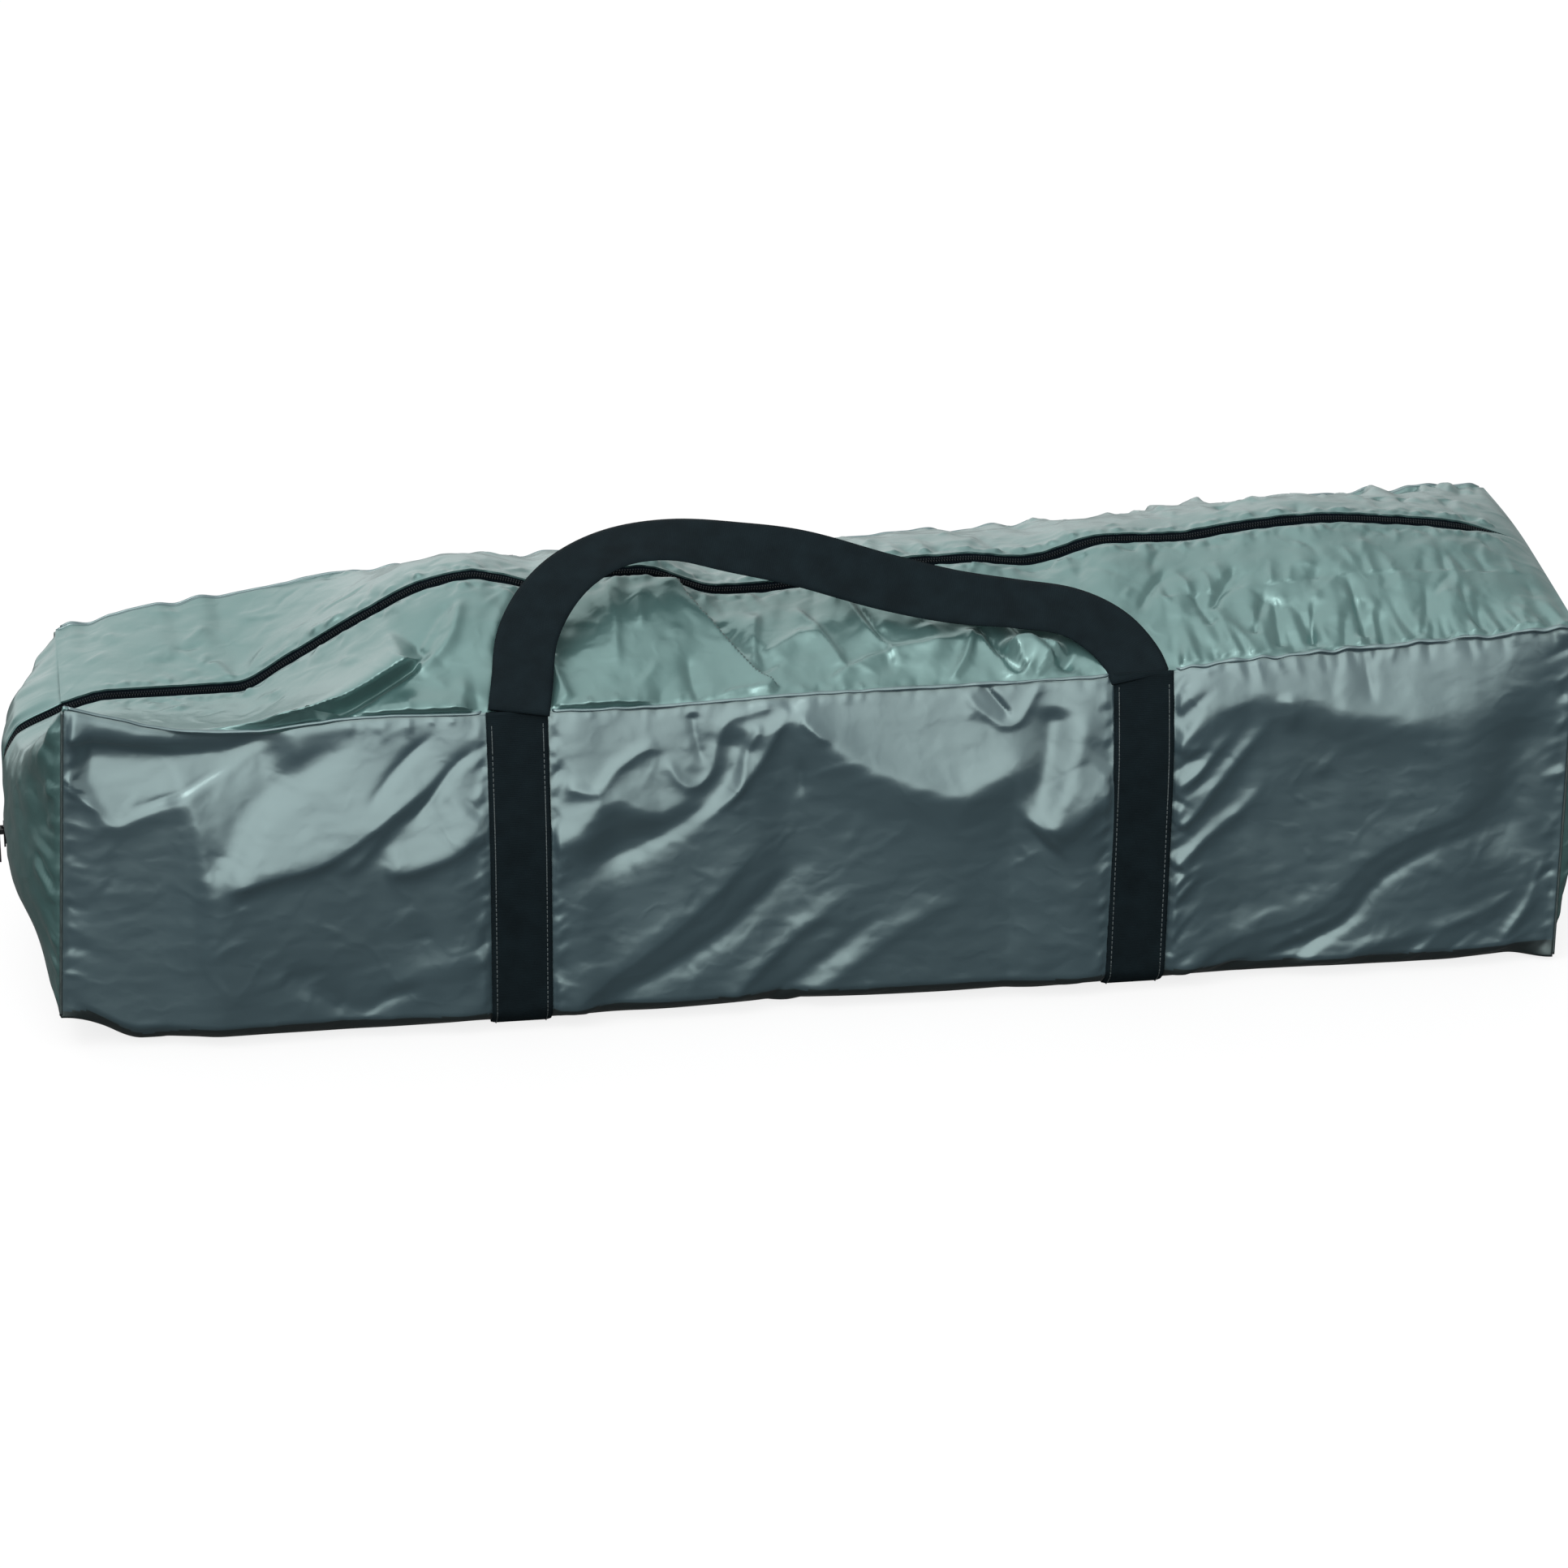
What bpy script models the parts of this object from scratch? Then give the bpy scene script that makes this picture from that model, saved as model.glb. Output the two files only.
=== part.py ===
"""A cot tent packed in its zipped carry bag: the bag's fabric panels, the zip with
its slider, the webbing bands and handles, and the rolled tent, poles and pegs inside.

Metres, +Z up. The origin is on the floor under the middle of the bag, +X runs along
the bag to its right end, and the front panel faces -Y.
"""

import math

import bmesh
import bpy
from mathutils import Vector

# The bag's fabric body
BAG_LENGTH = 0.940
BAG_DEPTH = 0.235
SEAM_HEIGHT = 0.219
FABRIC = 0.0015
PANEL_BULGE = 0.008
LEFT_END_BULGE = 0.038
RIGHT_END_BULGE = 0.030
CORNER_LIFT = 0.022
LIFT_LENGTH = 0.045
GAP = 0.0003

# Rise of the ridge and of the two long top seams over the seams' straight height.
# Each pair is a place along the bag, from -1 at its left end to 1 at its right end,
# and a share of the top's greatest rise.
TOP_RISE = 0.048
RIDGE_RISE = [
    (-1.00, -0.79), (-0.78, -0.62), (-0.60, 0.25), (-0.43, 0.77), (-0.15, 0.50),
    (0.20, 0.69), (0.50, 0.90), (0.73, 1.00), (0.90, 0.79), (1.00, 0.38),
]
FRONT_SEAM_RISE = [(-1.00, 0.40), (-0.83, 0.0), (0.85, 0.0), (1.00, 0.33)]
REAR_SEAM_RISE = [(-1.00, -0.79), (-0.83, 0.0), (0.85, 0.0), (1.00, 0.21)]

# Bulge of an end panel up its height: share of the height, share of the bulge
END_PROFILE = [
    (0.00, 0.10), (0.15, 0.52), (0.35, 0.92), (0.45, 1.00),
    (0.82, 1.00), (0.92, 0.80), (1.00, 0.00),
]
END_FULLNESS = 0.6
BULGE_FADE = 0.3
BASE_RAMP = 0.006

# The two moving top flaps, as places along the bag, on their seam and on their zip side
FLAP_SEAM_ENDS = (-0.82, 0.84)
FLAP_ZIP_ENDS = (-0.70, 0.76)
SEAM_CORD_RADIUS = 0.0025
SEAM_STANDS_OUT = 0.0020
CORNER_INSET = 0.0014

# The zip
COIL_WIDTH = 0.0026
COIL_HALF_GAP = 0.0007
COIL_PROUD = 0.0008
TAPE_WIDTH = 0.014
TAPE_THICKNESS = 0.0006
TAPE_DROP = 0.0010
ZIP_FOOT_HEIGHT = 0.088
ZIP_STOP_LENGTH = 0.004
ZIP_RIGHT_END = 0.965
SLIDER_LENGTH = 0.014
SLIDER_WIDTH = 0.0095
SLIDER_PLATE = 0.0012
SLIDER_POST = 0.0008
LUG_THICKNESS = 0.0012
LUG_HEIGHT = 0.7
PIN_RADIUS = 0.0005
EYE_RADIUS = 0.0017
PULL_LENGTH = 0.022
PULL_WIDTH = 0.0075
PULL_NECK = 0.0036
PULL_NECK_LENGTH = 0.0012
PULL_SHOULDER = 0.003
PULL_CORNER = 0.002
PULL_THICKNESS = 0.0014

# Webbing
WEBBING_WIDTH = 0.038
WEBBING_THICKNESS = 0.0018
BAND_SPACING = 0.390
BAND_TOP_DROP = 0.008
HANDLE_THICKNESS = 0.0024
HANDLE_LEAN = 35.0
REAR_HANDLE_LEAN = -96.5
REAR_HANDLE_STANDS_OUT = 0.0025
# The handle's middle line in its own plane: place along the bag as a share of half
# the band spacing, and a share of the reach from the seam to the middle line's peak.
HANDLE_REACH = 0.113
HANDLE_ROUTE = [
    (-1.000, 0.053), (-0.985, 0.265), (-0.950, 0.53), (-0.870, 0.76), (-0.740, 0.92),
    (-0.560, 1.000), (-0.300, 0.956), (0.000, 0.83), (0.300, 0.70), (0.540, 0.61),
    (0.740, 0.540), (0.890, 0.425), (0.970, 0.248), (1.000, 0.053),
]

# The rolled tent and its rainfly. A roll's end is rounded over a share of its half
# height; each pair there is a share of that length and a share of the full section.
PACKING_CLEARANCE = 0.004
FLY_RADIUS = 0.042
FLY_ENDS = (-0.48, 0.86)
ROLL_HALF_WIDTH = 0.080
ROLL_ENDS = (-0.80, 0.90)
ROLL_ROUNDING = 0.45
ROLL_END_PROFILE = [(0.0, 0.55), (0.25, 0.82), (0.6, 0.96), (1.0, 1.0)]
REAR_ROOM = 0.017
STRAP_WIDTH = 0.025
STRAP_THICKNESS = 0.0012
STRAP_SPACING = 0.400
STRAP_LEAD = 0.006
BUCKLE_WIDTH = 0.034
BUCKLE_HALF_LENGTH = 0.021
BUCKLE_THICKNESS = 0.009
BUCKLE_WALL = 0.0018
BUCKLE_FIT = 0.001
TONGUE_LENGTH = 0.014
TONGUE_ARM = 0.006
TONGUE_POINT = 0.004
TONGUE_HOOK = 0.002

# The folded poles and the pegs, each in a sleeve that is open at its right end
POLE_RADIUS = 0.00425
POLE_BORE = 0.0023
POLE_LENGTH = 0.750
POLE_PITCH = 0.0104
POLE_SECTIONS = 3
FERRULE_WALL = 0.0004
FERRULE_LENGTH = 0.060
SHOCK_CORD_RADIUS = 0.0011
SHOCK_CORD_KNOT = 0.002
SLEEVE_WALL = 0.0008
SLEEVE_ROUNDING = 0.003
SLEEVE_END_SLACK = 0.004
POLE_MOUTH = 0.015
PEG_MOUTH = 0.035
PEG_RADIUS = 0.002
PEG_LENGTH = 0.170
PEG_HOOK_RADIUS = 0.006
PEG_HOOK_LENGTH = 0.014
PEG_PITCH = 0.0055
PEG_COUNT = 4
PEG_BAG_SLACK = 0.004
PEG_BAG_FROM_MIDDLE = 0.030

HALF_LENGTH = BAG_LENGTH / 2
HALF_DEPTH = BAG_DEPTH / 2
FRONT = -1
REAR = 1
LEFT = -1
RIGHT = 1
SIDE_NAME = {FRONT: "front", REAR: "rear"}
END_NAME = {LEFT: "left", RIGHT: "right"}
END_BULGE = {LEFT: LEFT_END_BULGE, RIGHT: RIGHT_END_BULGE}

AXIS_Y = HALF_DEPTH + SEAM_STANDS_OUT
FLAP_START = 1 - (AXIS_Y - SEAM_CORD_RADIUS - GAP) / HALF_DEPTH
SLOT_HALF = COIL_HALF_GAP + COIL_WIDTH + GAP
FLOOR = WEBBING_THICKNESS + FABRIC + 2 * GAP
PANEL_FOOT = WEBBING_THICKNESS + 2 * GAP


def clear_scene():
    for old in list(bpy.data.objects):
        bpy.data.objects.remove(old, do_unlink=True)


def principled(name, colour, roughness, metallic=0.0):
    material = bpy.data.materials.new(name)
    material.use_nodes = True
    shader = material.node_tree.nodes["Principled BSDF"]
    shader.inputs["Base Color"].default_value = (*colour, 1.0)
    shader.inputs["Roughness"].default_value = roughness
    shader.inputs["Metallic"].default_value = metallic
    return material


def make_object(name, bm, material, origin=(0, 0, 0)):
    """An object whose origin is at a given point, from a mesh made in world space."""
    bmesh.ops.recalc_face_normals(bm, faces=bm.faces)
    bmesh.ops.translate(bm, verts=bm.verts, vec=-Vector(origin))
    mesh = bpy.data.meshes.new(name)
    bm.to_mesh(mesh)
    bm.free()
    mesh.materials.append(material)
    mesh.shade_smooth()
    mesh.set_sharp_from_angle(angle=math.radians(35))
    made = bpy.data.objects.new(name, mesh)
    made.location = origin
    bpy.context.scene.collection.objects.link(made)
    return made


def make_guide(name, bm, material, origin=(0, 0, 0)):
    """A shape that only joins or cuts another one."""
    guide = make_object(name, bm, material, origin)
    guide.hide_render = True
    guide.display_type = "WIRE"
    return guide


def combine(target, guide, operation):
    step = target.modifiers.new(guide.name, "BOOLEAN")
    step.operation = operation
    step.object = guide
    step.solver = "EXACT"


def through(points, place):
    """Height at a place on a smooth curve through the points, without overshoot."""
    if place <= points[0][0]:
        return points[0][1]
    if place >= points[-1][0]:
        return points[-1][1]
    slopes = [
        (after[1] - before[1]) / (after[0] - before[0])
        for before, after in zip(points, points[1:])
    ]
    tangents = [slopes[0]]
    for before, after in zip(slopes, slopes[1:]):
        turns = before * after <= 0
        tangents.append(0.0 if turns else 2 * before * after / (before + after))
    tangents.append(slopes[-1])
    index = max(i for i, point in enumerate(points[:-1]) if point[0] <= place)
    (x0, y0), (x1, y1) = points[index], points[index + 1]
    width = x1 - x0
    t = (place - x0) / width
    return (
        (1 + 2 * t) * (1 - t) ** 2 * y0
        + t * (1 - t) ** 2 * width * tangents[index]
        + t * t * (3 - 2 * t) * y1
        + t * t * (t - 1) * width * tangents[index + 1]
    )


def spread(first, last, count):
    return [first + (last - first) * i / count for i in range(count + 1)]


def eased(share):
    share = min(max(share, 0.0), 1.0)
    return share * share * (3 - 2 * share)


def seam_z(x, side):
    rise = FRONT_SEAM_RISE if side == FRONT else REAR_SEAM_RISE
    return SEAM_HEIGHT + TOP_RISE * through(rise, x / HALF_LENGTH)


def ridge_z(x):
    return SEAM_HEIGHT + TOP_RISE * through(RIDGE_RISE, x / HALF_LENGTH)


def top_point(x, share, side, above=0.0):
    """A point of the bag's top: share 0 is at the long seam, 1 at the zip."""
    seam = seam_z(x, side)
    dome = math.sin(share * math.pi / 2)
    return Vector((
        x,
        side * HALF_DEPTH * (1 - share),
        seam + (ridge_z(x) - seam) * dome + above,
    ))


def share_at(from_zip):
    """The share that lies at a distance from the zip's middle line."""
    return 1 - from_zip / HALF_DEPTH


def foot_z(x):
    """How far the bag's left end lifts off the floor."""
    return CORNER_LIFT * eased((-HALF_LENGTH + LIFT_LENGTH - x) / LIFT_LENGTH)


def panel_y(x, z, side):
    height = min(max(z / seam_z(x, side), 0.0), 1.0)
    fade = eased((HALF_LENGTH - abs(x)) / (BULGE_FADE * HALF_LENGTH))
    return side * (HALF_DEPTH + PANEL_BULGE * fade * math.sin(math.pi * height))


def end_top(y, end):
    side = FRONT if y < 0 else REAR
    return top_point(end * HALF_LENGTH, 1 - abs(y) / HALF_DEPTH, side).z


def end_x(y, z, end):
    across = max(1 - (y / HALF_DEPTH) ** 2, 0.0) ** END_FULLNESS
    height = z / end_top(y, end)
    return end * (HALF_LENGTH + END_BULGE[end] * across * through(END_PROFILE, height))


def slab(name, outer, inner, material, origin=(0, 0, 0), keep=None):
    """A closed sheet between two grids of points that match row by row."""
    rows, columns = len(outer), len(outer[0])
    bm = bmesh.new()
    top = [[bm.verts.new(p) for p in row] for row in outer]
    bottom = [[bm.verts.new(p) for p in row] for row in inner]
    cells = [
        (i, j)
        for i in range(rows - 1)
        for j in range(columns - 1)
        if keep is None or keep(i, j)
    ]
    edges = set()
    for i, j in cells:
        ring = [(i, j), (i, j + 1), (i + 1, j + 1), (i + 1, j)]
        bm.faces.new([top[a][b] for a, b in ring])
        bm.faces.new([bottom[a][b] for a, b in reversed(ring)])
        edges.update(zip(ring, ring[1:] + ring[:1]))
    for (a, b), (c, d) in sorted(edges):
        if ((c, d), (a, b)) not in edges:
            bm.faces.new([top[c][d], top[a][b], bottom[a][b], bottom[c][d]])
    loose = [vert for vert in bm.verts if not vert.link_faces]
    bmesh.ops.delete(bm, geom=loose, context="VERTS")
    return make_object(name, bm, material, origin)


def moved(rows, shift):
    return [[point + Vector(shift) for point in row] for row in rows]


def box_mesh(low, high):
    bm = bmesh.new()
    corners = [
        bm.verts.new((x, y, z))
        for x in (low[0], high[0])
        for y in (low[1], high[1])
        for z in (low[2], high[2])
    ]
    for ring in ((0, 1, 3, 2), (4, 6, 7, 5), (0, 4, 5, 1), (2, 3, 7, 6), (0, 2, 6, 4), (1, 5, 7, 3)):
        bm.faces.new([corners[i] for i in ring])
    return bm


def prism_mesh(outline, along):
    """A closed prism: an outline of points, pushed along a direction."""
    bm = bmesh.new()
    near = [bm.verts.new(point) for point in outline]
    far = [bm.verts.new(point + along) for point in outline]
    bm.faces.new(near)
    bm.faces.new(list(reversed(far)))
    for i, vert in enumerate(near):
        j = (i + 1) % len(near)
        bm.faces.new([near[j], vert, far[i], far[j]])
    return bm


def ring_points(centre, radius, sides, across_y=1.0, across_z=1.0):
    """Points round the X direction."""
    return [
        centre + Vector((
            0,
            radius * across_y * math.cos(2 * math.pi * i / sides),
            radius * across_z * math.sin(2 * math.pi * i / sides),
        ))
        for i in range(sides)
    ]


def lathe_mesh(rings, closed_loop=False):
    """Rings of points joined in turn. The ends are filled, or joined to each other."""
    bm = bmesh.new()
    loops = [[bm.verts.new(point) for point in ring] for ring in rings]
    pairs = list(zip(loops, loops[1:]))
    if closed_loop:
        pairs.append((loops[-1], loops[0]))
    else:
        bm.faces.new(list(reversed(loops[0])))
        bm.faces.new(loops[-1])
    for first, second in pairs:
        for i in range(len(first)):
            j = (i + 1) % len(first)
            bm.faces.new([first[i], first[j], second[j], second[i]])
    return bm


def smooth_route(points, steps):
    """Points on a Catmull-Rom curve through the given ones."""
    ends = [2 * points[0] - points[1], *points, 2 * points[-1] - points[-2]]
    route = []
    for a, b, c, d in zip(ends, ends[1:], ends[2:], ends[3:]):
        for step in range(steps):
            t = step / steps
            route.append(
                0.5 * (
                    2 * b + (c - a) * t
                    + (2 * a - 5 * b + 4 * c - d) * t * t
                    + (3 * b - a - 3 * c + d) * t ** 3
                )
            )
    route.append(points[-1].copy())
    return route


def cord_tube(name, points, radius, material, sides_setting=2):
    curve = bpy.data.curves.new(name, "CURVE")
    curve.dimensions = "3D"
    curve.bevel_depth = radius
    curve.bevel_resolution = sides_setting
    curve.use_fill_caps = True
    spline = curve.splines.new("POLY")
    spline.points.add(len(points) - 1)
    for knot, point in zip(spline.points, points):
        knot.co = (*point, 1.0)
    curve.materials.append(material)
    made = bpy.data.objects.new(name, curve)
    bpy.context.scene.collection.objects.link(made)
    return made


# Places along the bag that the long panels share, closer where the top bends
BAG_MARKS = [
    -1.0, -0.955, -0.91, -0.83, -0.78, -0.72, -0.66, -0.60, -0.54, -0.48, -0.415,
    -0.34, -0.25, -0.15, -0.03, 0.09, 0.20, 0.32, 0.415, 0.50, 0.58, 0.66,
    0.73, 0.80, 0.85, 0.90, 0.95, 1.0,
]
BAG_COLUMNS = [mark * HALF_LENGTH for mark in BAG_MARKS]
PANEL_HEIGHTS = spread(0.0, 1.0, 8)


def long_panel(side, material):
    """The front or rear panel, from the floor to the long top seam."""
    drop = SEAM_CORD_RADIUS + GAP
    outer = []
    for share in PANEL_HEIGHTS:
        row = []
        for x in BAG_COLUMNS:
            low = PANEL_FOOT + foot_z(x)
            z = low + (seam_z(x, side) - drop - low) * share
            row.append(Vector((x, panel_y(x, z, side), z)))
        outer.append(row)
    inner = moved(outer, (0, -side * FABRIC, 0))
    return slab(f"bag_{SIDE_NAME[side]}_panel", outer, inner, material)


def base_panel(material):
    """The base lies on the floor and passes over the two bands."""
    half_band = WEBBING_WIDTH / 2 + GAP
    centre = BAND_SPACING / 2
    edges = [centre - half_band - BASE_RAMP, centre - half_band, centre + half_band,
             centre + half_band + BASE_RAMP]
    inside = HALF_LENGTH - FABRIC - GAP
    lift_end = HALF_LENGTH - LIFT_LENGTH
    lift = spread(-inside, -lift_end, 4)
    places = sorted([*lift, *edges, *[-x for x in edges], 0.0, lift_end, inside])

    def height(x):
        over_band = eased((half_band + BASE_RAMP - abs(abs(x) - centre)) / BASE_RAMP)
        return foot_z(x) + (WEBBING_THICKNESS + GAP) * over_band

    reach = HALF_DEPTH - FABRIC - GAP
    outer = [[Vector((x, y, height(x))) for x in places] for y in (-reach, 0.0, reach)]
    inner = moved(outer, (0, 0, FABRIC))
    return slab("bag_base_panel", outer, inner, material)


def end_panel(end, material):
    """An end panel bulges outward. The left one is slit for the zip."""
    reach = HALF_DEPTH - FABRIC - GAP
    outer_marks = [reach * share for share in (1.0, 0.93, 0.82, 0.68, 0.5, 0.3)]
    slot = SLOT_HALF + GAP
    across = [-y for y in outer_marks] + [-0.1 * reach, -slot, slot, 0.1 * reach]
    across += list(reversed(outer_marks))
    heights = [0, 0.08, 0.16, 0.25, 0.35, 0.45, 0.52, 0.60, 0.68, 0.75, 0.82, 0.87, 0.92, 0.96, 1.0]
    foot_of_zip = ZIP_FOOT_HEIGHT - ZIP_STOP_LENGTH - 2 * GAP
    outer = []
    for share in heights:
        row = []
        for y in across:
            low = PANEL_FOOT + foot_z(end * HALF_LENGTH)
            z = low + (end_top(y, end) - low) * share
            row.append(Vector((end_x(y, z, end), y, z)))
        outer.append(row)
    inner = moved(outer, (-end * FABRIC, 0, 0))
    slit_column = across.index(-slot)
    slit_row = min(i for i, row in enumerate(outer) if row[slit_column].z > foot_of_zip) - 1
    if end == LEFT:
        for grid in (outer, inner):
            for point in grid[slit_row][slit_column:slit_column + 2]:
                point.z = foot_of_zip

    def keep(i, j):
        return end == RIGHT or j != slit_column or i < slit_row

    return slab(f"bag_{END_NAME[end]}_end_panel", outer, inner, material, keep=keep)


def flap_end(end, share, clearance):
    """Where a top flap ends at a share between its seam and its zip side."""
    index = 0 if end == LEFT else 1
    seam, zip_side = FLAP_SEAM_ENDS[index], FLAP_ZIP_ENDS[index]
    return (seam + (zip_side - seam) * share) * HALF_LENGTH + end * clearance


def top_grid(side, first, last, shares, above):
    """Points of the top between two ends, each a function of the share."""
    start, stop = first(1.0), last(1.0)
    steps = [(x - start) / (stop - start) for x in BAG_COLUMNS if start < x < stop]
    grid = []
    for share in shares:
        low, high = first(share), last(share)
        marks = [low + (high - low) * step for step in (0.0, *steps, 1.0)]
        grid.append([top_point(x, share, side, above) for x in marks])
    return grid


def top_sheet(name, side, first, last, shares, above, thickness, material, origin=(0, 0, 0)):
    outer = top_grid(side, first, last, shares, above)
    return slab(name, outer, moved(outer, (0, 0, -thickness)), material, origin)


FLAP_SHARES = [FLAP_START, 0.14, 0.28, 0.42, 0.56, 0.70, 0.80,
               share_at(TAPE_WIDTH), share_at(SLOT_HALF)]


def hinge_point(side):
    return Vector((0, side * AXIS_Y, SEAM_HEIGHT))


def moving_top(side, fabric, tape, coil):
    """A top flap with its half of the zip, from its seam to the zip's middle."""
    def left(share):
        return flap_end(LEFT, share, -GAP)

    def right(share):
        return flap_end(RIGHT, share, -GAP)

    def zip_left(_share):
        return left(1.0)

    def zip_right(_share):
        return right(1.0)

    name = SIDE_NAME[side]
    origin = hinge_point(side)
    zip_shares = [share_at(TAPE_WIDTH), share_at(SLOT_HALF), share_at(COIL_HALF_GAP)]
    coil_shares = [share_at(SLOT_HALF - GAP), share_at(COIL_HALF_GAP)]
    top_sheet(f"top_{name}_flap", side, left, right, FLAP_SHARES, 0.0, FABRIC, fabric, origin)
    top_sheet(f"zip_tape_{name}", side, zip_left, zip_right, zip_shares,
              -FABRIC - TAPE_DROP, TAPE_THICKNESS, tape, origin)
    top_sheet(f"zip_coil_{name}", side, zip_left, zip_right, coil_shares,
              COIL_PROUD, COIL_PROUD + FABRIC, coil, origin)


def corner_gusset(side, end, material):
    """The fixed part of the top beside a flap."""
    reach = end * (HALF_LENGTH - FABRIC - GAP)
    shares = [CORNER_INSET / HALF_DEPTH, *FLAP_SHARES[1:]]

    def outside(_share):
        return reach

    def beside_flap(share):
        return flap_end(end, share, GAP)

    first, last = (outside, beside_flap) if end == LEFT else (beside_flap, outside)
    outer = []
    for share in shares:
        marks = spread(first(share), last(share), 7)
        outer.append([top_point(x, share, side) for x in marks])
    name = f"top_corner_{SIDE_NAME[side]}_{END_NAME[end]}"
    return slab(name, outer, moved(outer, (0, 0, -FABRIC)), material)


def top_seam(side, material):
    """The rolled seam allowance that a flap turns about."""
    ends = [flap_end(LEFT, 0.0, 0.0), flap_end(RIGHT, 0.0, 0.0)]
    rings = [
        ring_points(hinge_point(side) + Vector((x, 0, 0)), SEAM_CORD_RADIUS, 10) for x in ends
    ]
    make_object(f"{SIDE_NAME[side]}_top_seam", lathe_mesh(rings), material)


def left_zip_route():
    """The middle line of the zip from the flaps over the left end, down to its stop."""
    start = flap_end(LEFT, 1.0, -GAP) - 2 * GAP
    top = [
        (x, ridge_z(x)) for x in spread(start, -HALF_LENGTH + FABRIC, 6)
    ]
    peak = end_top(0.0, LEFT)
    down = [
        (end_x(0.0, peak * share, LEFT), peak * share)
        for share in (0.985, 0.96, 0.92, 0.87, 0.82, 0.74, 0.66, 0.58)
    ]
    down.append((end_x(0.0, ZIP_FOOT_HEIGHT, LEFT), ZIP_FOOT_HEIGHT))
    return [Vector((x, 0, z)) for x, z in [*top, *down]]


def ribbon_on_route(name, route, low, high, outward, inward, material):
    """A ribbon on a route in the plane of X and Z, between two distances across it."""
    outer, inner = [], []
    for i, point in enumerate(route):
        tangent = route[min(i + 1, len(route) - 1)] - route[max(i - 1, 0)]
        slope = 0 if i == 0 else tangent.z
        normal = Vector((slope, 0, -tangent.x)).normalized()
        outer.append([point + normal * outward + Vector((0, y, 0)) for y in (low, high)])
        inner.append([point - normal * inward + Vector((0, y, 0)) for y in (low, high)])
    return slab(name, outer, inner, material)


def left_zip(tape, coil, metal):
    route = left_zip_route()
    for side in (FRONT, REAR):
        name = SIDE_NAME[side]
        edges = sorted((side * COIL_HALF_GAP, side * TAPE_WIDTH))
        low = FABRIC + TAPE_DROP
        ribbon_on_route(f"zip_left_tape_{name}", route, *edges, -low, low + TAPE_THICKNESS, tape)
        edges = sorted((side * COIL_HALF_GAP, side * (COIL_HALF_GAP + COIL_WIDTH)))
        ribbon_on_route(f"zip_left_coil_{name}", route, *edges, COIL_PROUD, FABRIC, coil)
    foot_x = end_x(0.0, ZIP_FOOT_HEIGHT, LEFT)
    reach = COIL_HALF_GAP + COIL_WIDTH
    low = (foot_x - COIL_PROUD, -reach, ZIP_FOOT_HEIGHT - ZIP_STOP_LENGTH - GAP)
    high = (foot_x + FABRIC, reach, ZIP_FOOT_HEIGHT - GAP)
    make_object("zip_left_stop", box_mesh(low, high), metal)


def right_zip(tape, coil, metal):
    """The zip's closed last stretch beside the flaps' right ends."""
    start = flap_end(RIGHT, 1.0, -GAP) + 2 * GAP
    stop = ZIP_RIGHT_END * HALF_LENGTH
    marks = spread(start, stop, 6)
    route = [Vector((x, 0, ridge_z(x))) for x in marks]
    low = FABRIC + TAPE_DROP
    reach = COIL_HALF_GAP + COIL_WIDTH
    ribbon_on_route("zip_right_tape", route, -TAPE_WIDTH, TAPE_WIDTH,
                    low + TAPE_THICKNESS, -low, tape)
    ribbon_on_route("zip_right_coil", route, -reach, reach, FABRIC, COIL_PROUD, coil)
    before = ridge_z(stop + GAP)
    after = ridge_z(stop + GAP + ZIP_STOP_LENGTH)
    outline = [
        Vector((stop + GAP, -reach, before + COIL_PROUD)),
        Vector((stop + GAP + ZIP_STOP_LENGTH, -reach, after + COIL_PROUD)),
        Vector((stop + GAP + ZIP_STOP_LENGTH, -reach, after - FABRIC)),
        Vector((stop + GAP, -reach, before - FABRIC)),
    ]
    make_object("zip_right_stop", prism_mesh(outline, Vector((0, 2 * reach, 0))), metal)


def slider(metal):
    """An outer and an inner plate on a thin post that runs between the coil halves."""
    x = end_x(0.0, ZIP_FOOT_HEIGHT + SLIDER_LENGTH, LEFT)
    face = x - COIL_PROUD - GAP
    back = x + FABRIC + TAPE_DROP + TAPE_THICKNESS + GAP
    bottom = ZIP_FOOT_HEIGHT + GAP
    half, post = SLIDER_WIDTH / 2, SLIDER_POST / 2
    outline = [
        (face - SLIDER_PLATE, -half), (face - SLIDER_PLATE, half), (face, half), (face, post),
        (back, post), (back, half), (back + SLIDER_PLATE, half), (back + SLIDER_PLATE, -half),
        (back, -half), (back, -post), (face, -post), (face, -half),
    ]
    points = [Vector((px, py, bottom)) for px, py in outline]
    pin_x = face - SLIDER_PLATE - EYE_RADIUS - GAP
    pin_z = bottom + LUG_HEIGHT * SLIDER_LENGTH
    origin = Vector((x, 0, bottom))
    body = make_object("zip_slider", prism_mesh(points, Vector((0, 0, SLIDER_LENGTH))), metal, origin)
    for side in (FRONT, REAR):
        inside = side * (PULL_NECK / 2 + GAP)
        outside = inside + side * LUG_THICKNESS
        low = (pin_x - EYE_RADIUS, min(inside, outside), pin_z - EYE_RADIUS)
        high = (face - SLIDER_PLATE / 2, max(inside, outside), pin_z + EYE_RADIUS)
        lug = make_guide(f"lug_guide_{SIDE_NAME[side]}", box_mesh(low, high), metal)
        combine(body, lug, "UNION")
    reach = PULL_NECK / 2 + GAP + LUG_THICKNESS / 2
    pin_points = []
    for y in (-reach, reach):
        pin_points.append([
            Vector((
                pin_x + PIN_RADIUS * math.cos(2 * math.pi * i / 12),
                y,
                pin_z + PIN_RADIUS * math.sin(2 * math.pi * i / 12),
            ))
            for i in range(12)
        ])
    combine(body, make_guide("pin_guide", lathe_mesh(pin_points), metal), "UNION")
    return Vector((pin_x, 0, pin_z))


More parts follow.
